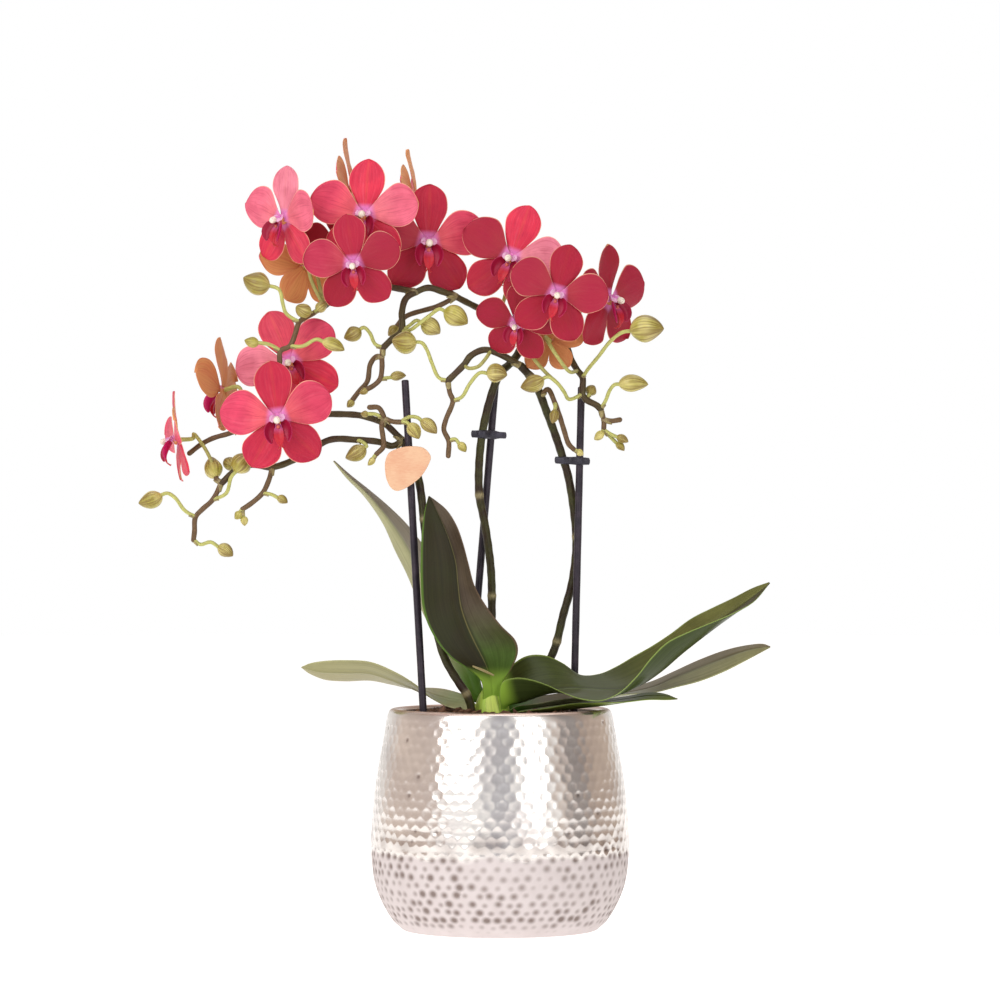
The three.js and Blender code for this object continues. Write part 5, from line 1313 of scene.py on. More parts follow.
@dataclass
class PottingMix:
    """What fills the nursery pot: its rolled rim, the bark bed, loose chips and moss."""

    wall: float = 45.1
    foot: float = 38.6
    base: float = 7.7
    top: float = 105.0
    rim: tuple[float, float] = (47.4, 102.6)
    roll: float = 1.3
    chips: int = 330
    strands: int = 420

    def rolled_rim(self) -> Surface:
        """The rim's roll: a ring whose section is a circle about the rim's radius and height.

        Returns:
            The closed surface, each of whose points is (radius cos a, radius sin a, height).
        """
        sides, columns = 12, 140
        turn = np.linspace(0, 2 * math.pi, sides + 1)[:-1]
        section = np.asarray(self.rim) + self.roll * np.stack([np.cos(turn), np.sin(turn)], axis=1)
        angle = 2 * math.pi * np.arange(columns) / columns
        rings = np.stack([section[:, :1] * np.cos(angle), section[:, :1] * np.sin(angle),
                          np.broadcast_to(section[:, 1:], (sides, columns))], axis=-1).transpose(1, 0, 2)
        count = np.arange(columns * sides).reshape(columns, sides)
        ahead, beside = np.roll(count, -1, axis=0), np.roll(count, -1, axis=1)
        quads = np.stack([count, ahead, np.roll(ahead, -1, axis=1), beside], axis=-1).reshape(-1, 4)
        flat = rings.reshape(-1, 3)
        empty = np.zeros((0, 3), int)
        return Surface(flat, quads, empty, np.zeros_like(flat), np.zeros_like(flat)).outward()

    def bed(self) -> Surface:
        """A filled cup whose top is flat but for uneven ripples of 9 mm and 4 mm.

        Returns:
            The closed surface.
        """
        side = np.linspace((self.foot, self.base), (self.wall, 99.5), 14)
        shoulder = np.array([(44.4, 102.0), (43.2, 103.6)])
        level = np.stack([np.linspace(42, 1.0, 46), np.full(46, self.top)], axis=1)
        bed = lathe(np.concatenate([side, shoulder, level]), 150, 0.0, (0.5, 0, 0))
        lift = 1.5 * ripple(bed.points, 9, 3) + 0.7 * ripple(bed.points, 4, 5)
        bed.points[:, 2] += np.where(bed.points[:, 2] > 101, lift, 0)
        return bed

    def scattered(self, count: int, reach: float, seed: int) -> tuple[Array, np.random.Generator]:
        """Places spread evenly over the top.

        The radius grows with the root of a place's number, and each is a golden angle on from the last.

        Args:
            count: how many.
            reach: the largest radius.
            seed: picks how far each strays.

        Returns:
            The places, and the generator for what stands on them.
        """
        draw = np.random.default_rng(seed)
        order = np.arange(count) + 0.5
        inner = 13
        radius = inner + (reach - inner) * np.sqrt(order / count)
        angle = GOLDEN_ANGLE * order + draw.uniform(-0.2, 0.2, count)
        height = self.top + draw.uniform(-0.6, 2.4, count)
        return np.stack([radius * np.cos(angle) - 2, radius * np.sin(angle), height], axis=1), draw

    def loose_chips(self) -> Surface:
        """Bark chips: balls squared off, flattened, dented and turned at random, a few dozen faces each.

        A ball's point is (cos a sin b, sin a sin b, cos b), and each coordinate is brought nearer to the
        faces of a cube by raising its size to the power 0.6.

        Returns:
            All the chips, with a shade each as their first tone.
        """
        places, draw = self.scattered(self.chips, 42, 21)
        turn, tilt = np.meshgrid(2 * math.pi * np.arange(7) / 7, np.radians([40, 75, 110, 145]))
        ball = np.stack([np.cos(turn) * np.sin(tilt), np.sin(turn) * np.sin(tilt), np.cos(tilt)], axis=-1)
        squared = np.sign(ball) * np.abs(ball) ** 0.6
        sizes = draw.uniform((2.6, 1.5, 0.9), (6.0, 3.6, 2.0), (self.chips, 3))
        rough = draw.uniform(0.82, 1.15, (self.chips, *squared.shape))
        spin, lean = draw.uniform(0, 2 * math.pi, self.chips), draw.normal(0, 0.35, (2, self.chips))
        shaped = squared[None] * sizes[:, None, None] * rough
        c, s = np.cos(spin)[:, None, None], np.sin(spin)[:, None, None]
        x, y, z = shaped[..., 0], shaped[..., 1], shaped[..., 2]
        z = z + x * lean[0][:, None, None] + y * lean[1][:, None, None]
        turned = np.stack([x * c - y * s, x * s + y * c, z], axis=-1) + places[:, None, None]
        tones = draw.uniform(0, 0.6, self.chips)
        parts = [shell(chip, np.zeros_like(chip), (tone, 0, 0)) for chip, tone in zip(turned, tones)]
        return Surface.joined(parts)

    def moss(self) -> Surface:
        """Moss strands: three-sided tapering stalks that arch over, each a quarter of a circle.

        Returns:
            All the strands.
        """
        places, draw = self.scattered(self.strands, 31, 33)
        places[:, 2] -= 0.6
        along = np.linspace(0, 1, 4)
        heading = draw.uniform(0, 2 * math.pi, self.strands)
        long = draw.uniform(1.6, 3.6, self.strands)
        around = 2 * math.pi * np.arange(3) / 3
        reach = (1 - np.cos(along * 1.3))[None, :, None] * long[:, None, None]
        rise = np.sin(along * 1.3)[None, :, None] * long[:, None, None] * 0.6
        wide = (0.32 * (1 - 0.8 * along))[None, :, None]
        out = np.stack([np.cos(heading), np.sin(heading)], axis=1)[:, None, None]
        ring = np.stack([np.cos(around), np.sin(around)], axis=-1)[None, None]
        flat = places[:, None, None, :2] + out * reach[..., None] + ring * wide[..., None]
        height = places[:, None, None, 2] + rise + 0 * flat[..., 0]
        strands = np.concatenate([flat, height[..., None]], axis=-1)
        place = np.zeros_like(strands[0])
        place[..., 0] = along[:, None]
        return Surface.joined([shell(strand, place, (0, 0, 0)) for strand in strands])

    def build(self) -> list[bpy.types.Object]:
        """Makes the rim, the bed, the chips and the moss."""
        made = {"nursery_rim": self.rolled_rim(), "bark_bed": self.bed(), "bark_chips": self.loose_chips(),
                "moss": self.moss()}
        return [make_object(name, surface) for name, surface in made.items()]

    def dress(self, pieces: list[bpy.types.Object]) -> None:
        """Gives plastic to the nursery pot, bark to the bed and chips, and moss to the strands.

        Args:
            pieces: what build made.
        """
        rim, bed, chips, moss = pieces
        plastic = MouldedPlastic("moulded_black_polypropylene", "#1b1a1a", "#2b2927", 0.5).material()
        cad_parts["nursery_pot"].data.materials.clear()
        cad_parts["nursery_pot"].data.materials.append(plastic)
        settle(rim, plastic, "nursery_pot")
        bark = FirBark().material()
        settle(bed, bark, "bark", "bark")
        settle(chips, bark, "bark", "bark")
        settle(moss, Moss().material(), "bark", "bark")


@dataclass
class Crown:
    """The short stem: overlapping lime leaf bases, and a dry sheath in front."""

    x: float = -4.0
    profile: tuple = ((5.0, 92), (7.4, 98), (9.0, 104), (8.8, 108.5), (7.9, 113), (6.0, 117.6), (3.6, 120.6),
                      (1.2, 121.3))
    sheath: Route = ((-13.6, -18.6, 132.2), (-9.4, -16.2, 130.4), (-6, -14.4, 128.8), (-3, -13.4, 127.4))

    def body(self) -> Surface:
        """A turned body whose radius swells by 7 per cent in four overlapping folds that lean round it.

        Returns:
            The closed surface, whose second place number goes from -1 to 1 across each fold.
        """
        curve = smooth_route(tuple((r, z, 0.0) for r, z in self.profile), 0.7)[:, :2]
        body = lathe(curve, 96, np.linspace(0, 1, len(curve)), (0, 0, 0))
        angle = np.arctan2(body.points[:, 1], body.points[:, 0])
        fold = np.mod(4 * angle / (2 * math.pi) + 0.012 * (body.points[:, 2] - 92), 1)
        swell = 1 + 0.07 * (np.clip(fold / 0.85, 0, 1) - np.clip((fold - 0.85) / 0.15, 0, 1))
        body.points[:, :2] *= swell[:, None]
        body.points[:, 0] += self.x
        body.place[:, 1] = 2 * fold - 1
        return body

    def dry_sheath(self) -> Surface:
        """A narrow blade, rolled inwards at the margins.

        The half width is 0.6 mm times the root of sin(pi * (0.06 + 0.84 * u)) for u from 0 to 1 along it.

        Returns:
            The closed surface.
        """
        u, v = np.sin(np.linspace(0, 1, 22) * math.pi / 2), np.linspace(-1, 1, 9)
        path = smooth_route(self.sheath, 0.8)
        run = lengths(path)
        spine = np.stack([np.interp(u * run[-1], run, path[:, k]) for k in range(3)], axis=1)
        tangent = unit(np.gradient(spine, axis=0))
        side = unit(np.cross((0.1, -1.0, 0.3), tangent))
        look = np.cross(tangent, side)
        width = 0.6 * np.sqrt(np.sin(math.pi * (0.06 + 0.84 * u)))[:, None, None]
        middle = spine[:, None] + side[:, None] * width * v[None, :, None]
        middle = middle + look[:, None] * (0.5 * width * v[None, :, None] ** 2)
        return blade(middle, np.full((22, 9), 0.3), u, v)

    def build(self) -> list[bpy.types.Object]:
        """Makes the crown and its dry sheath."""
        return [make_object("leaf_bases", self.body()), make_object("dry_sheath", self.dry_sheath())]

    def dress(self, pieces: list[bpy.types.Object]) -> None:
        """Gives the crown its lime skin and the sheath its papery one.

        Args:
            pieces: what build made.
        """
        lime = WaxyLeaf("lime_leaf_base", upper=("#cfdf6c", "#aeca50"), under=("#cfdf6c", "#aeca50"),
                        margin=("#86a83c", "#d6e684"), keel="#c8dc74", mottle="#6a8a2a", mottled=0.3,
                        base="#cdd690", based=0.3)
        settle(pieces[0], lime.material(), "crown", "crown")
        settle(pieces[1], PaperyScale().material(), "crown")


@dataclass
class Stakes:
    """Straight round plant stakes, each by its foot and top."""

    radius: float = 1.85
    ends: dict = field(default_factory=lambda: {
        "a": ((-34.3, -15, 40), (-47.5, -3, 276.2)),
        "b": ((-24, 27, 9), (-1.5, 9.5, 283.2)),
        "c": ((36, 15, 60), (41, 14.5, 273)),
    })

    def rod(self, foot: Array, top: Array) -> Surface:
        """A rod along a straight line: its radius wavers by 1.2 per cent, and its flat top is chamfered.

        Args:
            foot: its lower end.
            top: its upper end.

        Returns:
            The closed surface.
        """
        share = np.linspace(0, 1, 110)
        path = np.asarray(foot) + (np.asarray(top) - np.asarray(foot)) * share[:, None]
        radius = self.radius * (1 + 0.012 * np.sin(share * 61)) * np.ones(110)
        radius[0], radius[-1] = 0.7 * self.radius, 0.75 * self.radius
        path[-1] = path[-2] + unit(path[-1] - path[-2]) * 0.5
        return tube(path, radius, 24, share, domed=False)

    def build(self) -> dict[str, bpy.types.Object]:
        """Makes the stakes."""
        return {letter: make_object(f"plant_stake_{letter}", self.rod(*ends))
                for letter, ends in self.ends.items()}

    def dress(self, stakes: dict[str, bpy.types.Object]) -> None:
        """Gives them dark drawn plastic with a plum cast.

        Args:
            stakes: what build made.
        """
        plastic = MouldedPlastic("drawn_dark_plastic", "#241d27", "#3a2f3a", 0.4).material()
        for letter, stake in stakes.items():
            settle(stake, plastic, "stakes", f"stake_{letter}")


@dataclass
class Clips:
    """Moulded stem clips.

    A bar has stations, each with x and y from the clip's middle, half the depth and half the height.
    """

    middles: dict = field(default_factory=lambda: {
        "a": (-43.5, -3.2, 230.5), "b": (-5.6, 8.8, 247.4), "c": (36.4, 16.2, 234.4)})
    stations: dict = field(default_factory=lambda: {
        "a": ((-6, 0, 1.4, 1.9), (-4.4, 0.3, 2.2, 2.1), (-1.5, -1.6, 4.6, 2.3), (1.2, 2.0, 4.8, 2.3),
              (4.2, 1.0, 2.3, 2.1), (6, 1.0, 1.5, 1.9)),
        "b": ((-8.9, -2.6, 1.5, 1.9), (-6.6, -2.6, 1.9, 1.9), (-4.6, -2.5, 3.0, 2.1), (-1.6, -2.0, 3.2, 2.2),
              (0.8, 1.6, 3.3, 2.3), (2.8, 2.6, 3.2, 2.3), (5.0, 2.4, 2.0, 1.8), (8.9, 2.2, 1.6, 1.7)),
        "c": ((-8.9, 1.2, 1.6, 1.8), (-6.8, 1.4, 2.3, 1.9), (-4.3, 1.4, 3.3, 2.0), (-1.4, 0.6, 2.3, 1.9),
              (1.4, -0.6, 2.8, 2.1), (3.8, -1.4, 3.1, 2.2), (6.0, -1.2, 2.4, 2.0), (8.9, -1.2, 1.6, 1.8)),
    })

    def bar(self, letter: str) -> Surface:
        """A squared oval carried along the stations.

        The oval has y = half depth * root of |cos a| and z = half height * root of |sin a|, with the signs
        of the cosine and sine. It shrinks at both ends, and ridges 5 per cent deep cross it near them.

        Args:
            letter: which clip.

        Returns:
            The closed surface.
        """
        x, y, deep, high = smooth_route(self.stations[letter], 0.35).T
        angle = 2 * math.pi * np.arange(28) / 28
        cos, sin = (np.sign(w) * np.sqrt(np.abs(w)) for w in (np.cos(angle), np.sin(angle)))
        ends = np.clip(1.4 * np.sqrt(np.minimum(x - x[0], x[-1] - x) + 0.08), 0, 1)[:, None]
        ridges = 1 - 0.05 * (np.abs(x) > 5.2) * np.abs(np.sin(x * 3.4))
        rings = np.stack([np.broadcast_to(x[:, None], (len(x), 28)), y[:, None] + deep[:, None] * ends * cos,
                          (high * ridges)[:, None] * ends * sin - 0.04 * x[:, None]], axis=-1)
        return shell(rings + np.asarray(self.middles[letter]), np.zeros_like(rings), (0, 0, 0))

    def build(self) -> dict[str, bpy.types.Object]:
        """Makes the clips."""
        return {letter: make_object(f"stem_clip_{letter}", self.bar(letter)) for letter in self.stations}

    def dress(self, clips: dict[str, bpy.types.Object]) -> None:
        """Gives them dark moulded plastic.

        Args:
            clips: what build made.
        """
        plastic = MouldedPlastic("moulded_dark_nylon", "#2c2a33", "#3d3a47", 0.36).material()
        for letter, clip in clips.items():
            settle(clip, plastic, "clips", f"clip_{letter}")


@dataclass
class CareLabel:
    """A bare card of rounded triangular outline, in front of the first clip."""

    middle: tuple = (-46.0, -10.8, 230.6)
    thick: float = 1.0
    outline: tuple = ((-9.3, 7.4), (-4.4, 9.8), (1.6, 10.8), (7.6, 10.1), (10.5, 7.7), (11.6, 5.3),
                      (10.5, 1.7), (6.7, -4.3), (0.3, -9.4), (-5.1, -11.5), (-7.9, -10.3), (-10.4, -5.9),
                      (-11.2, -1.2), (-11.1, 3.3))

    def card(self) -> Surface:
        """The outline shrunk ring by ring to its middle on both faces, with a rounded edge between them.

        The outline is a spline through its points, the last of which is repeated in front and the first two
        behind, so that it closes smoothly.

        Returns:
            The closed surface.
        """
        count = len(self.outline)
        given = np.array([(x, 0.0, z) for x, z in self.outline])[np.arange(-1, count + 2) % count]
        loop = spline(given, np.repeat(np.arange(1, count + 1), 9), np.tile(np.arange(9) / 9, count))
        inward = np.linspace(0.04, 0.97, 14)
        scale = np.concatenate([inward, [0.99, 1.0, 1.0, 0.99], inward[::-1]])
        depth = np.concatenate([np.full(14, -0.5), [-0.46, -0.3, 0.3, 0.46], np.full(14, 0.5)]) * self.thick
        rings = loop[None] * scale[:, None, None]
        rings[..., 1] += depth[:, None]
        return shell(rings + np.asarray(self.middle), np.zeros_like(rings), (0, 0, 0))

    def build(self) -> bpy.types.Object:
        """Makes the card."""
        return make_object("bare_label", self.card())

    def dress(self, card: bpy.types.Object) -> None:
        """Gives it uncoated card."""
        settle(card, UncoatedCard().material(), "care_label", "care_label")


@dataclass
class Foliage:
    """The six leaves and the finish of each."""

    thick: float = 1.7
    rows: int = 110
    columns: int = 31
    finishes: tuple[WaxyLeaf, ...] = (
        WaxyLeaf("leaf_front", upper=("#4a6229", "#27290c"), under=("#4f6030", "#4f6030"),
                 margin=("#64503f", "#557526"), keel="#6e663c", mottle="#2c1e14", mottled=0.4,
                 base="#a2c850", based=0.17, tip=("#54483a", "#2b2a0f"), ripe=0.34),
        WaxyLeaf("leaf_back_left", upper=("#8f8778", "#abaa80"), under=("#8c9470", "#a0a880"),
                 margin=("#a59a84", "#b6b88c"), keel="#76845a", mottle="#8a8270", base="#5c8030", based=0.3,
                 groove=0.12),
        WaxyLeaf("leaf_left", upper=("#949a72", "#8d9468"), under=("#a19b74", "#9a966a"),
                 margin=("#ab9478", "#b0ae80"), keel="#a9a97c", mottle="#a08a66", mottled=0.45,
                 base="#74924a", groove=0.05),
        WaxyLeaf("leaf_right", upper=("#454c24", "#3f4620"), under=("#3a4520", "#434f28"),
                 margin=("#8fa552", "#7f8f3c"), keel="#636f34", mottle="#43401e", mottled=0.4,
                 base="#96b944", based=0.13, rim=0.95, tip=("#423c22", "#666634"), ripe=0.6),
        WaxyLeaf("leaf_right_back", upper=("#8e8b62", "#7d7258"), under=("#878a62", "#7c7b60"),
                 margin=("#b0b284", "#6f6854"), keel="#6c6c4c", mottle="#6f6448", mottled=0.45,
                 base="#4f7a2a", based=0.2, groove=0.25),
        WaxyLeaf("leaf_right_low", upper=("#66702e", "#545f24"), under=("#6a7c34", "#6a7c34"),
                 margin=("#93a850", "#748c3a"), keel="#748c3c", mottle="#4a4a22", mottled=0.4,
                 base="#6c9434", groove=0.3),
    )

    def surface(self, stations: Stations, seed: int) -> Surface:
        """One leaf.

        Splines run through its stations. With v from -1 at the first margin to 1 at the second, a point is
        the midrib, plus half the way between the margins times v, plus the way from the midrib to the
        margins' middle times |v| to the power 1.5. Waves that grow to the margins and a groove along the
        midrib are added along the normal; they and the thickness shrink where the leaf is under 15 mm wide.

        Args:
            stations: its points.
            seed: picks its waves.

        Returns:
            The closed blade, whose first face is the upper one.
        """
        u, v = np.linspace(0, 1, self.rows), np.sin(np.linspace(-1, 1, self.columns) * math.pi / 2)
        given = np.asarray(stations, float)
        first, midrib, second = (through(given[:, k], u)[:, None] for k in range(3))
        sheet = midrib + (second - first) / 2 * v[:, None]
        sheet = sheet + ((first + second) / 2 - midrib) * np.abs(v)[:, None] ** 1.5
        normal = unit(np.cross(np.gradient(sheet, axis=0), np.gradient(sheet, axis=1)))
        lines = np.stack(np.broadcast_arrays(u[:, None] * 9, v[None] * 1.5, 0.0), axis=-1)
        slim = np.clip(np.linalg.norm(second - first, axis=-1) / 15, 0.1, 1)
        lift = 0.5 * v**2 * ripple(lines, 2.2, seed) - 0.5 * np.exp(-((v / 0.05) ** 2))
        thick = self.thick * (1 - 0.5 * np.abs(v)) * np.sqrt(np.clip(1 - v**10, 0.08, 1)) * slim
        return blade(sheet + normal * (lift * slim)[..., None], thick, u, v)

    def build(self) -> dict[str, bpy.types.Object]:
        """Makes the leaves."""
        return {name: make_object(f"{name}_blade", self.surface(stations, seed + 40))
                for seed, (name, stations) in enumerate(LEAVES.items())}

    def dress(self, leaves: dict[str, bpy.types.Object]) -> None:
        """Gives each its waxy skin."""
        for finish in self.finishes:
            settle(leaves[finish.name], finish.material(), "leaves", finish.name)


@dataclass
class FlowerSpike:
    """One flower spike: its stems, bracts and bloom stalks, and its buds."""

    letter: str
    stalk: float = 7.0
    behind: float = 2.1
    seat: float = 0.12
    nodes: dict = field(default_factory=lambda: {
        "a": (118.2, 205), "b": (166.6, 217), "c": (143.2, 196, 276.5)})

    def stem(self, stem: Stem) -> Surface:
        """A tube that swells by a sixth at its nodes, where its skin is pale.

        A main stem has its nodes at the heights in the table, and another stem has one at its root.

        Args:
            stem: its size and route.

        Returns:
            The closed surface, whose first tone is the paleness.
        """
        radius, sides, age = stem.size.value
        path = smooth_route(stem.route, 1.3)
        run = lengths(path)
        nodes = np.array([run[0] + 1.0])
        if stem.size is Size.MAIN:
            nodes = np.interp(self.nodes[self.letter], path[:, 2], run)
        near = np.exp(-(((run[:, None] - nodes) / 1.3) ** 2)).max(axis=1)
        wide = radius * (1 + 0.16 * near + 0.03 * np.sin(run * 0.9))
        tone = np.stack([0.75 * near * (stem.size is not Size.PEDICEL), 0 * near, 0 * near], axis=1)
        return tube(path, wide, sides, np.full(len(path), age), tone)

    def bract(self, stem: Stem) -> Surface:
        """A pointed scale that clasps the lower side of a branch's first millimetres.

        It lies on a cone about the branch: a point is the branch's axis plus its radius times the cosine
        and sine of an angle that narrows to nothing at the tip.

        Args:
            stem: the branch.

        Returns:
            The closed blade.
        """
        radius = stem.size.value[0]
        path = smooth_route(stem.route, 0.6)
        run = lengths(path)
        u, v = np.linspace(0, 1, 8), np.linspace(-1, 1, 7)
        far = 0.9 + 3.4 * u * (radius / 1.3)
        axis = np.stack([np.interp(far, run, path[:, k]) for k in range(3)], axis=1)
        tangent = unit(axis[-1] - axis[0])
        below = np.array([0.12, -0.35, -1.0])
        down = unit(below - tangent * np.dot(tangent, below))
        side = np.cross(tangent, down)
        turn = 1.15 * np.sqrt(1 - 0.98 * u**1.6)[:, None] * v[None]
        out = (radius * 1.1 + 0.35 * u**2)[:, None]
        middle = axis[:, None] + (out * np.cos(turn))[..., None] * down
        middle = middle + (out * np.sin(turn))[..., None] * side
        bract = blade(middle, np.full((8, 7), 0.35), u, v)
        bract.place[:] = (0.62, 1.0, 0.0)
        bract.tone[:, 0] = 0.35
        return bract

    def bud(self, stem: Stem, seed: int) -> Surface:
        """An egg on the end of its stalk.

        The radius is half the width times sin(pi * t^0.82) to the power 0.7, less three shallow furrows
        where the sepals meet, and the axis bows a little.

        Args:
            stem: its stalk, which gives its length and width.
            seed: picks its blush and how its furrows are turned.

        Returns:
            The closed surface, whose first tone is the blush.
        """
        long, wide = stem.bud
        before, tip = np.asarray(stem.route[-2:], float)
        axis = unit(tip - before)
        t = (1 - np.cos(np.linspace(0.02, 1, 18) * math.pi)) / 2
        bow = unit(np.cross(axis, (0.2, 1.0, 0.1))) * 0.05 * long
        path = tip + axis * (long * (t - self.seat))[:, None] + bow * np.sin(math.pi * t)[:, None]
        angle = 2 * math.pi * np.arange(20) / 20
        furrow = 1 - 0.06 * np.abs(np.cos(1.5 * (angle + seed))) ** 8
        radius = np.maximum(wide / 2 * np.sin(math.pi * t**0.82) ** 0.7, 0.12)
        blush = np.random.default_rng(seed).uniform(0.1, 0.9)
        return tube(path, radius[:, None] * furrow[None], 20, t, (blush, 0, 0), domed=False)

    def bloom_stalk(self, bloom: Bloom) -> Surface:
        """A stalk that ends square to the back of its bloom, up to a quarter thicker in its last two fifths.

        Args:
            bloom: its bloom.

        Returns:
            The closed surface.
        """
        facing = bloom.turn()[:, 2]
        behind = self.behind * bloom.width / 50
        end, bend = (np.asarray(bloom.at) - facing * d for d in (behind - 0.9, behind + self.stalk))
        path = smooth_route((bloom.start, *bloom.via, tuple(bend), tuple(end)), 1.3)
        share = np.linspace(0, 1, len(path))
        radius = Size.PEDICEL.value[0] * (1 + 0.25 * np.clip((share - 0.6) / 0.4, 0, 1))
        return tube(path, radius, 12, 0.75 + 0.2 * share)

    def build(self) -> list[bpy.types.Object]:
        """Makes the stems and the buds.

        Returns:
            One piece of the stems with their bracts and bloom stalks, and one of the buds.
        """
        stems = SPIKES[self.letter]
        parts = [self.stem(stem) for stem in stems]
        parts += [self.bract(stem) for stem in stems[1:] if stem.size is not Size.PEDICEL or stem.bud]
        parts += [self.bloom_stalk(bloom) for bloom in BLOOMS.values() if bloom.spike == self.letter]
        buds = [self.bud(stem, seed) for seed, stem in enumerate(stems) if stem.bud]
        return [make_object(f"stems_{self.letter}", Surface.joined(parts)),
                make_object(f"buds_{self.letter}", Surface.joined(buds))]

    def dress(self, pieces: list[bpy.types.Object], *skins: bpy.types.Material) -> None:
        """Gives the stems and buds their skins."""
        for piece, material in zip(pieces, skins):
            settle(piece, material, "spikes", f"spike_{self.letter}")


@dataclass(frozen=True)
class Tepal:
    """One petal or sepal of a bloom 50 mm wide.

    It has its angle, length, half width, layer, bend, the share of the length where it is widest, the share
    of that width at its root, how lopsided it is, and how much of a sepal.
    """

    angle: float
    length: float
    half: float
    layer: float
    bend: float
    widest: float
    root: float
    skew: float
    sepal: float


TEPALS = (
    Tepal(90, 26.6, 8.7, -0.9, -1.4, 0.66, 0.3, 0.0, 1.0),
    Tepal(232, 25.4, 8.9, -0.9, -1.8, 0.6, 0.3, 0.06, 1.0),
    Tepal(308, 25.4, 8.9, -0.9, -1.8, 0.6, 0.3, -0.06, 1.0),
    Tepal(15, 26.6, 10.4, 0.7, 1.6, 0.62, 0.15, 0.1, 0.0),
    Tepal(165, 26.6, 10.4, 0.9, 1.6, 0.62, 0.15, -0.1, 0.0),
)


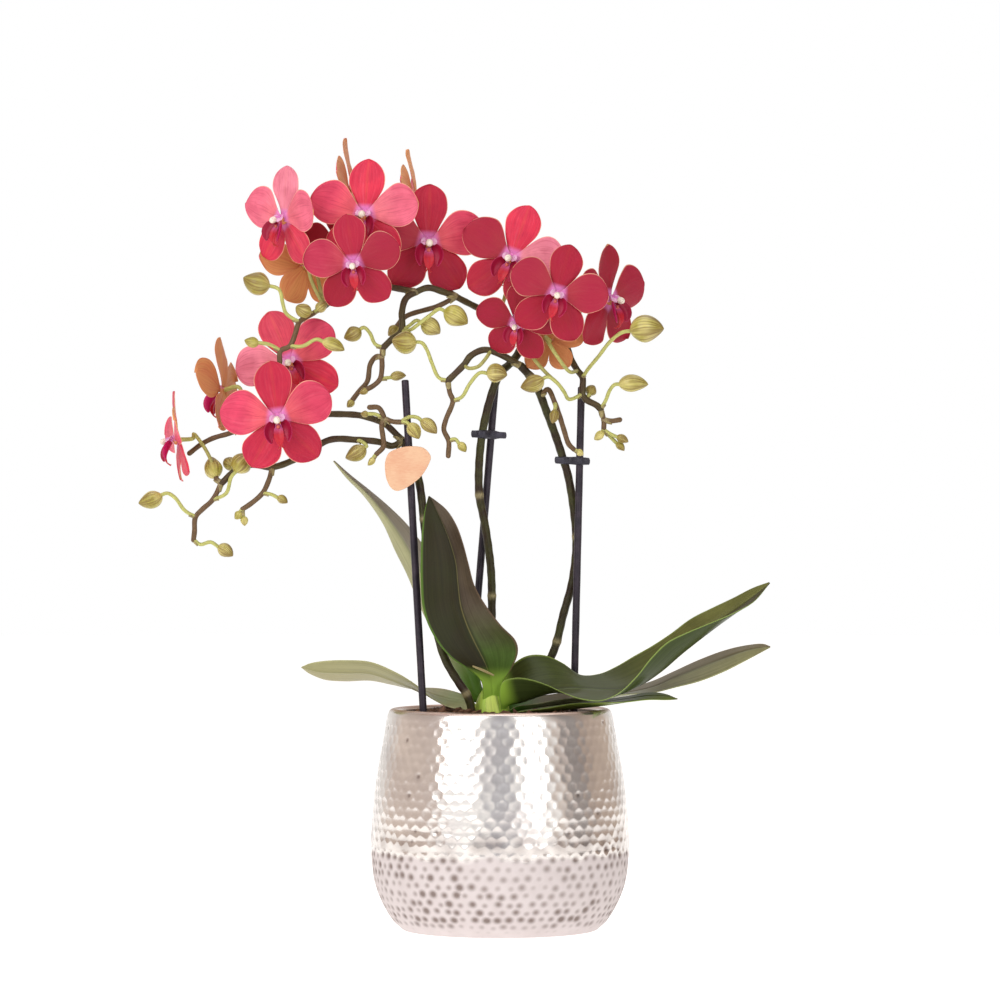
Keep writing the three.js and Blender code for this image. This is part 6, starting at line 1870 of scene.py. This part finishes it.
@dataclass
class Flower:
    """One bloom: five tepals, and a lip with its column."""

    name: str
    bloom: Bloom
    seed: int
    rows: int = 28
    columns: int = 19
    thick: float = 0.6

    def tepal(self, shape: Tepal, lean: float, shade: float, seed: int) -> Surface:
        """One tepal.

        The half width grows from the root by sin(quarter turn * u / widest) to the power 1.5, and past the
        widest place it follows nearly a quarter of an ellipse to the tip; its margins wander by 6 per cent.
        The height is the layer, plus the bend times u squared, less a cup across it, plus waves that grow to
        the margins, less a crease along the middle.

        Args:
            shape: its sizes.
            lean: how much further the tip bends.
            shade: how much more crimson it is than its bloom, partly its own colour and partly painted
                shade.
            seed: picks its waves.

        Returns:
            The closed blade in the bloom's own millimetres.
        """
        u = np.sin(np.linspace(0, 1, self.rows) * math.pi / 2)
        v = np.sin(np.linspace(-1, 1, self.columns) * math.pi / 2)
        rising = shape.root + (1 - shape.root) * np.sin(math.pi / 2 * np.minimum(u / shape.widest, 1)) ** 1.5
        past = np.maximum(u - shape.widest, 0) / (1 - shape.widest)
        rounded = (1 - past**2) ** (0.54 + 0.08 * shape.sepal)
        width = (shape.half * rising * np.maximum(rounded, 0.015))[:, None]
        lines = np.stack(np.broadcast_arrays(u[:, None] * 4, v[None] * 1.6, 0.0), axis=-1)
        over = width * v * (1 + shape.skew * v + 0.06 * ripple(lines, 1.1, seed + 9))
        waves = 1.5 * np.abs(v) ** 2 * u[:, None] * ripple(lines, 1.6, seed)
        waves = waves + 0.55 * np.abs(v) ** 2.5 * u[:, None] * ripple(lines, 0.7, seed + 5)
        crease = 0.35 * np.exp(-((v / 0.09) ** 2)) * (1 - u[:, None])
        cup = (1.3 - 2.3 * shape.sepal * u[:, None]) * v**2 * np.sin(math.pi * u[:, None])
        height = shape.layer + (shape.bend + lean) * u[:, None] ** 2 - cup + waves - crease
        reach = 1.2 + (shape.length - 1.2) * u[:, None] + 0 * v
        turn = math.radians(shape.angle)
        middle = np.stack([reach * math.cos(turn) - over * math.sin(turn),
                           reach * math.sin(turn) + over * math.cos(turn), height], axis=-1)
        thick = self.thick * np.sqrt(np.clip(1 - v**8, 0.1, 1)) * (1 - 0.3 * u[:, None])
        deep = min(max(self.bloom.deep + shade, -0.6), 1.0)
        return blade(middle, thick, u, v, (deep, self.bloom.plum, shape.sepal))

    def perianth(self) -> Surface:
        """The tepals about a small hub, which is a ball flattened to 1.5 mm.

        Returns:
            The closed surfaces in the bloom's own millimetres.
        """
        lean = np.random.default_rng(self.seed).uniform(-0.9, 0.9, 5)
        # painted shade: a tepal is painted a little more crimson the further its tip leans, 0.06 a unit of
        # lean
        parts = [self.tepal(shape, float(more), shade + 0.06 * float(more), 10 * self.seed + k)
                 for k, (shape, more, shade) in enumerate(zip(TEPALS, lean, self.bloom.shades))]
        tilt = np.radians(np.linspace(8, 172, 9))
        ball = np.stack([2.7 * np.sin(tilt), -1.5 * np.cos(tilt)], axis=1)
        return Surface.joined([*parts, lathe(ball, 20, 0.05, (self.bloom.deep, 0, 0))])

    def lobe(self, spine: Route, half: float, look: tuple, fold: float, tone: tuple, peak: float) -> Surface:
        """A small thick blade along a spine.

        Its half width is 0.3 mm plus half times sin(pi * u^peak) to the power 0.7, for u from 0 to 1 along
        it, and it is folded along the spine by the half width times v squared.

        Args:
            spine: the points that its middle passes.
            half: its largest half width.
            look: about where its upper face looks.
            fold: how high the margins rise, as a share of the half width.
            tone: its tone numbers.
            peak: how far along it is widest; 1 is the middle, and more is nearer to the tip.

        Returns:
            The closed blade.
        """
        u, v = np.sin(np.linspace(0, 1, 14) * math.pi / 2), np.sin(np.linspace(-1, 1, 11) * math.pi / 2)
        path = smooth_route(spine, 0.4)
        run = lengths(path)
        spine = np.stack([np.interp(u * run[-1], run, path[:, k]) for k in range(3)], axis=1)
        tangent = unit(np.gradient(spine, axis=0))
        side = unit(np.cross(look, tangent))
        up = np.cross(tangent, side)
        width = (0.3 + half * np.sin(math.pi * np.minimum(u, 0.999) ** peak) ** 0.7)[:, None]
        middle = spine[:, None] + side[:, None] * (width * v)[..., None]
        middle = middle + up[:, None] * (fold * width * v**2)[..., None]
        return blade(middle, np.full(width.shape, 0.7) * np.sqrt(np.clip(1 - v**8, 0.15, 1)), u, v, tone)

    def lip(self) -> Surface:
        """The column with its cap and wings, two side lobes, the mid lobe, its callus and two tendrils.

        Returns:
            The closed surfaces in the bloom's own millimetres.
        """
        column = smooth_route(((0, 0.6, 1.2), (0, 0.5, 4.2), (0, -0.3, 7.0)), 0.35)
        share = np.linspace(0, 1, len(column))
        swell = 1.15 + 0.45 * share + 0.1 * np.sin(share * 9)
        cap = np.clip((share - 0.66) / 0.12, 0, 1)
        tones = np.stack([0.95 * cap, 0 * cap, 1 - cap], axis=1)
        ball = np.radians(np.linspace(8, 172, 8))
        callus = lathe(np.stack([1.0 * np.sin(ball), -0.8 * np.cos(ball)], axis=1), 14, 0.5, (0.1, 0.7, 0))
        parts = [tube(column, swell, 16, share, tones), callus.moved(np.eye(3), np.array([0, -3.4, 4.6]))]
        curl = np.linspace(0, 1, 14)
        for way in (-1, 1):
            wing = ((0.9 * way, 1.4, 1.6), (2.3 * way, 0.6, 3.6), (2.0 * way, -0.9, 5.8))
            side = ((1.3 * way, -1.6, 2.4), (3.8 * way, -3.0, 4.4), (5.0 * way, -6.4, 6.4),
                    (3.9 * way, -10.6, 7.2))
            parts.append(self.lobe(wing, 1.1, (0.2 * way, 0.2, 1), 0.3, (0.3, 0, 0.9), 0.8))
            parts.append(self.lobe(side, 2.3, (-0.6 * way, 0.2, 0.8), 0.4, (0, 0, 0), 0.95))
            tendril = np.stack([way * (0.4 + 1.3 * curl), -12.0 - 1.6 * np.sin(curl * 2.4),
                                6.2 - 1.8 * curl - 0.8 * np.sin(curl * 3)], axis=1)
            parts.append(tube(tendril, 0.3 * (1 - 0.6 * curl), 8, 0.5, (0, 0.6, 0.2)))
        middle = self.lobe(((0, -2.2, 2.8), (0, -5.6, 5.0), (0, -9.0, 6.4), (0, -12.0, 6.2)), 2.1,
                           (0, 0.4, 1), 0.35, (0, 0.5, 0), 1.1)
        middle.tone[:, 1] = 0.52 * np.clip(2.2 * middle.place[:, 0] - 0.2, 0, 1)
        middle.tone[:, 2] = 0.85 * np.clip(1 - 1.4 * middle.place[:, 0], 0, 1)
        return Surface.joined([*parts, middle])

    def build(self) -> list[bpy.types.Object]:
        """Makes the perianth and the lip in the bloom's place: turned, scaled by its width and moved."""
        turn = self.bloom.turn() * (self.bloom.width / 50)
        return [make_object(f"{self.name}_{part}", surface.moved(turn, np.asarray(self.bloom.at)))
                for part, surface in (("tepals", self.perianth()), ("labellum", self.lip()))]

    def dress(self, pieces: list[bpy.types.Object], petal: bpy.types.Material,
              lip: bpy.types.Material) -> None:
        """Gives the tepals velvet and the lip its flesh."""
        settle(pieces[0], petal, "petals", self.name)
        settle(pieces[1], lip, "lips", f"{self.name}_lip")


@dataclass
class Studio:
    """A pale floor, soft lights and the camera at the photograph's height."""

    distance: float = 2.3
    height: float = 0.2146
    lens: float = 165.6
    glow: float = 1.0
    ambient: float = 0.62
    walls: tuple = ((-180, "#f2f0ee"), (-140, "#efece9"), (-118, "#e2d2c7"), (-64, "#dacac1"),
                    (-52, "#ffffff"), (-14, "#ffffff"), (-6, "#cfd0d6"), (7, "#c8c9d0"), (15, "#ffffff"),
                    (50, "#ffffff"), (57, "#dfd3cb"), (64, "#d6c9c1"), (69, "#a19c9a"), (84, "#a39d9a"),
                    (93, "#bfad9f"), (130, "#c8b7a9"), (150, "#efece9"), (180, "#f2f0ee"))

    def floor(self) -> None:
        """A disc 5 m in radius whose top is at the pot's foot."""
        disc = lathe(np.array([(2, 0.0), (5000, 0.0), (5000, -4.0), (2, -4.0)]), 96, 0.0, (0, 0, 0))
        floor = make_object("studio_floor", disc)
        floor.data.materials.append(PaleFloor().material())

    def softbox(self, name: str, at: tuple, aim: tuple, size: tuple, power: float) -> None:
        """A rectangular lamp.

        Args:
            name: its name.
            at: where it stands, in metres.
            aim: what it looks at.
            size: its width and height.
            power: its power in watts.
        """
        lamp = bpy.data.lights.new(name, "AREA")
        lamp.shape = "RECTANGLE"
        lamp.size, lamp.size_y, lamp.energy = *size, power
        holder = bpy.data.objects.new(name, lamp)
        bpy.context.scene.collection.objects.link(holder)
        back = unit(np.asarray(at, float) - np.asarray(aim, float))
        right = unit(np.cross((0.0, 0.0, 1.0), back))
        turn = np.eye(4)
        turn[:3] = np.stack([right, np.cross(back, right), back, np.asarray(at, float)], axis=1)
        # Blender takes nested lists as columns
        holder.matrix_world = turn.T.tolist()

    def sky(self) -> None:
        """White where the camera sees it; to the plant and pot, the walls of a studio.

        A wall's colour goes by the angle about the Z axis from the camera's side: the arc tangent of x over
        -y, brought from a full turn to 0 to 1. Each stop of the ramp is such an angle in degrees. The walls
        darken by 30 per cent from the horizon up to 37 degrees, and count in full only where they are
        mirrored.
        """
        world = bpy.data.worlds.new("studio_walls")
        bpy.context.scene.world = world
        world.use_nodes = True
        paint = Paint.bare(world.node_tree)
        toward = paint.add("TexCoord").node.outputs["Generated"]
        x, y, z = paint.add("SeparateXYZ", toward).node.outputs
        ahead = paint.add("Math", y, -1.0, operation="MULTIPLY")
        angle = paint.add("Math", x, ahead, operation="ARCTAN2")
        share = paint.add("MapRange", angle, -math.pi, math.pi)
        ramp = paint.add("ValToRGB", share).node
        for stop, (degrees, colour) in enumerate(self.walls):
            place = (degrees + 180) / 360
            point = ramp.color_ramp.elements[0] if stop == 0 else ramp.color_ramp.elements.new(place)
            point.position, point.color = place, linear(colour)
        ramp.color_ramp.elements.remove(ramp.color_ramp.elements[-1])
        rays = paint.add("LightPath").node.outputs
        mirrored = paint.add("MapRange", rays["Is Glossy Ray"], 0.0, 1.0, self.ambient, self.glow)
        high = paint.add("MapRange", z, 0.0, 0.6, 1.0, 0.7)
        power = paint.add("Math", mirrored, high, operation="MULTIPLY")
        lit = paint.add("Background", ramp.outputs[0], power)
        seen = paint.add("Background", (1, 1, 1, 1), 1.0)
        paint.add("OutputWorld", paint.add("MixShader", rays["Is Camera Ray"], lit, seen))

    def camera(self) -> None:
        """A level camera on the -Y side, 2.3 m away, whose frame spans half a metre at the pot's axis."""
        lens = bpy.data.cameras.new("photo_camera")
        lens.lens, lens.sensor_width, lens.clip_end = self.lens, 36.0, 20.0
        holder = bpy.data.objects.new("photo_camera", lens)
        bpy.context.scene.collection.objects.link(holder)
        holder.location = (0.0, -self.distance, self.height)
        holder.rotation_euler = (math.pi / 2, 0.0, 0.0)
        bpy.context.scene.camera = holder

    def build(self) -> None:
        """Sets the stage."""
        self.floor()
        self.sky()
        self.softbox("key_softbox", (-1.3, -1.5, 1.4), (0, 0, 0.2), (1.5, 2.0), 26.0)
        self.softbox("fill_softbox", (1.0, -1.62, 1.0), (0, 0, 0.2), (0.8, 1.8), 9.0)
        self.softbox("top_softbox", (0.0, 0.4, 2.0), (0, 0, 0.1), (1.8, 1.8), 14.0)
        self.camera()
        bpy.context.scene.view_settings.view_transform = "Standard"


def main() -> None:
    """Builds the plant from the pot up, then the studio."""
    logging.basicConfig(level=logging.INFO, format="%(name)s: %(message)s")
    for maker in (Cachepot(), PottingMix(), Crown(), Stakes(), Clips(), CareLabel(), Foliage()):
        maker.dress(maker.build())
    stem, bud = FlowerStem().material(), BudSkin().material()
    for letter in SPIKES:
        spike = FlowerSpike(letter)
        spike.dress(spike.build(), stem, bud)
    petal, lip = VelvetPetal().material(), LipFlesh().material()
    for seed, (name, bloom) in enumerate(BLOOMS.items()):
        flower = Flower(name, bloom, seed + 1)
        flower.dress(flower.build(), petal, lip)
    Studio().build()


if __name__ == "__main__":
    main()
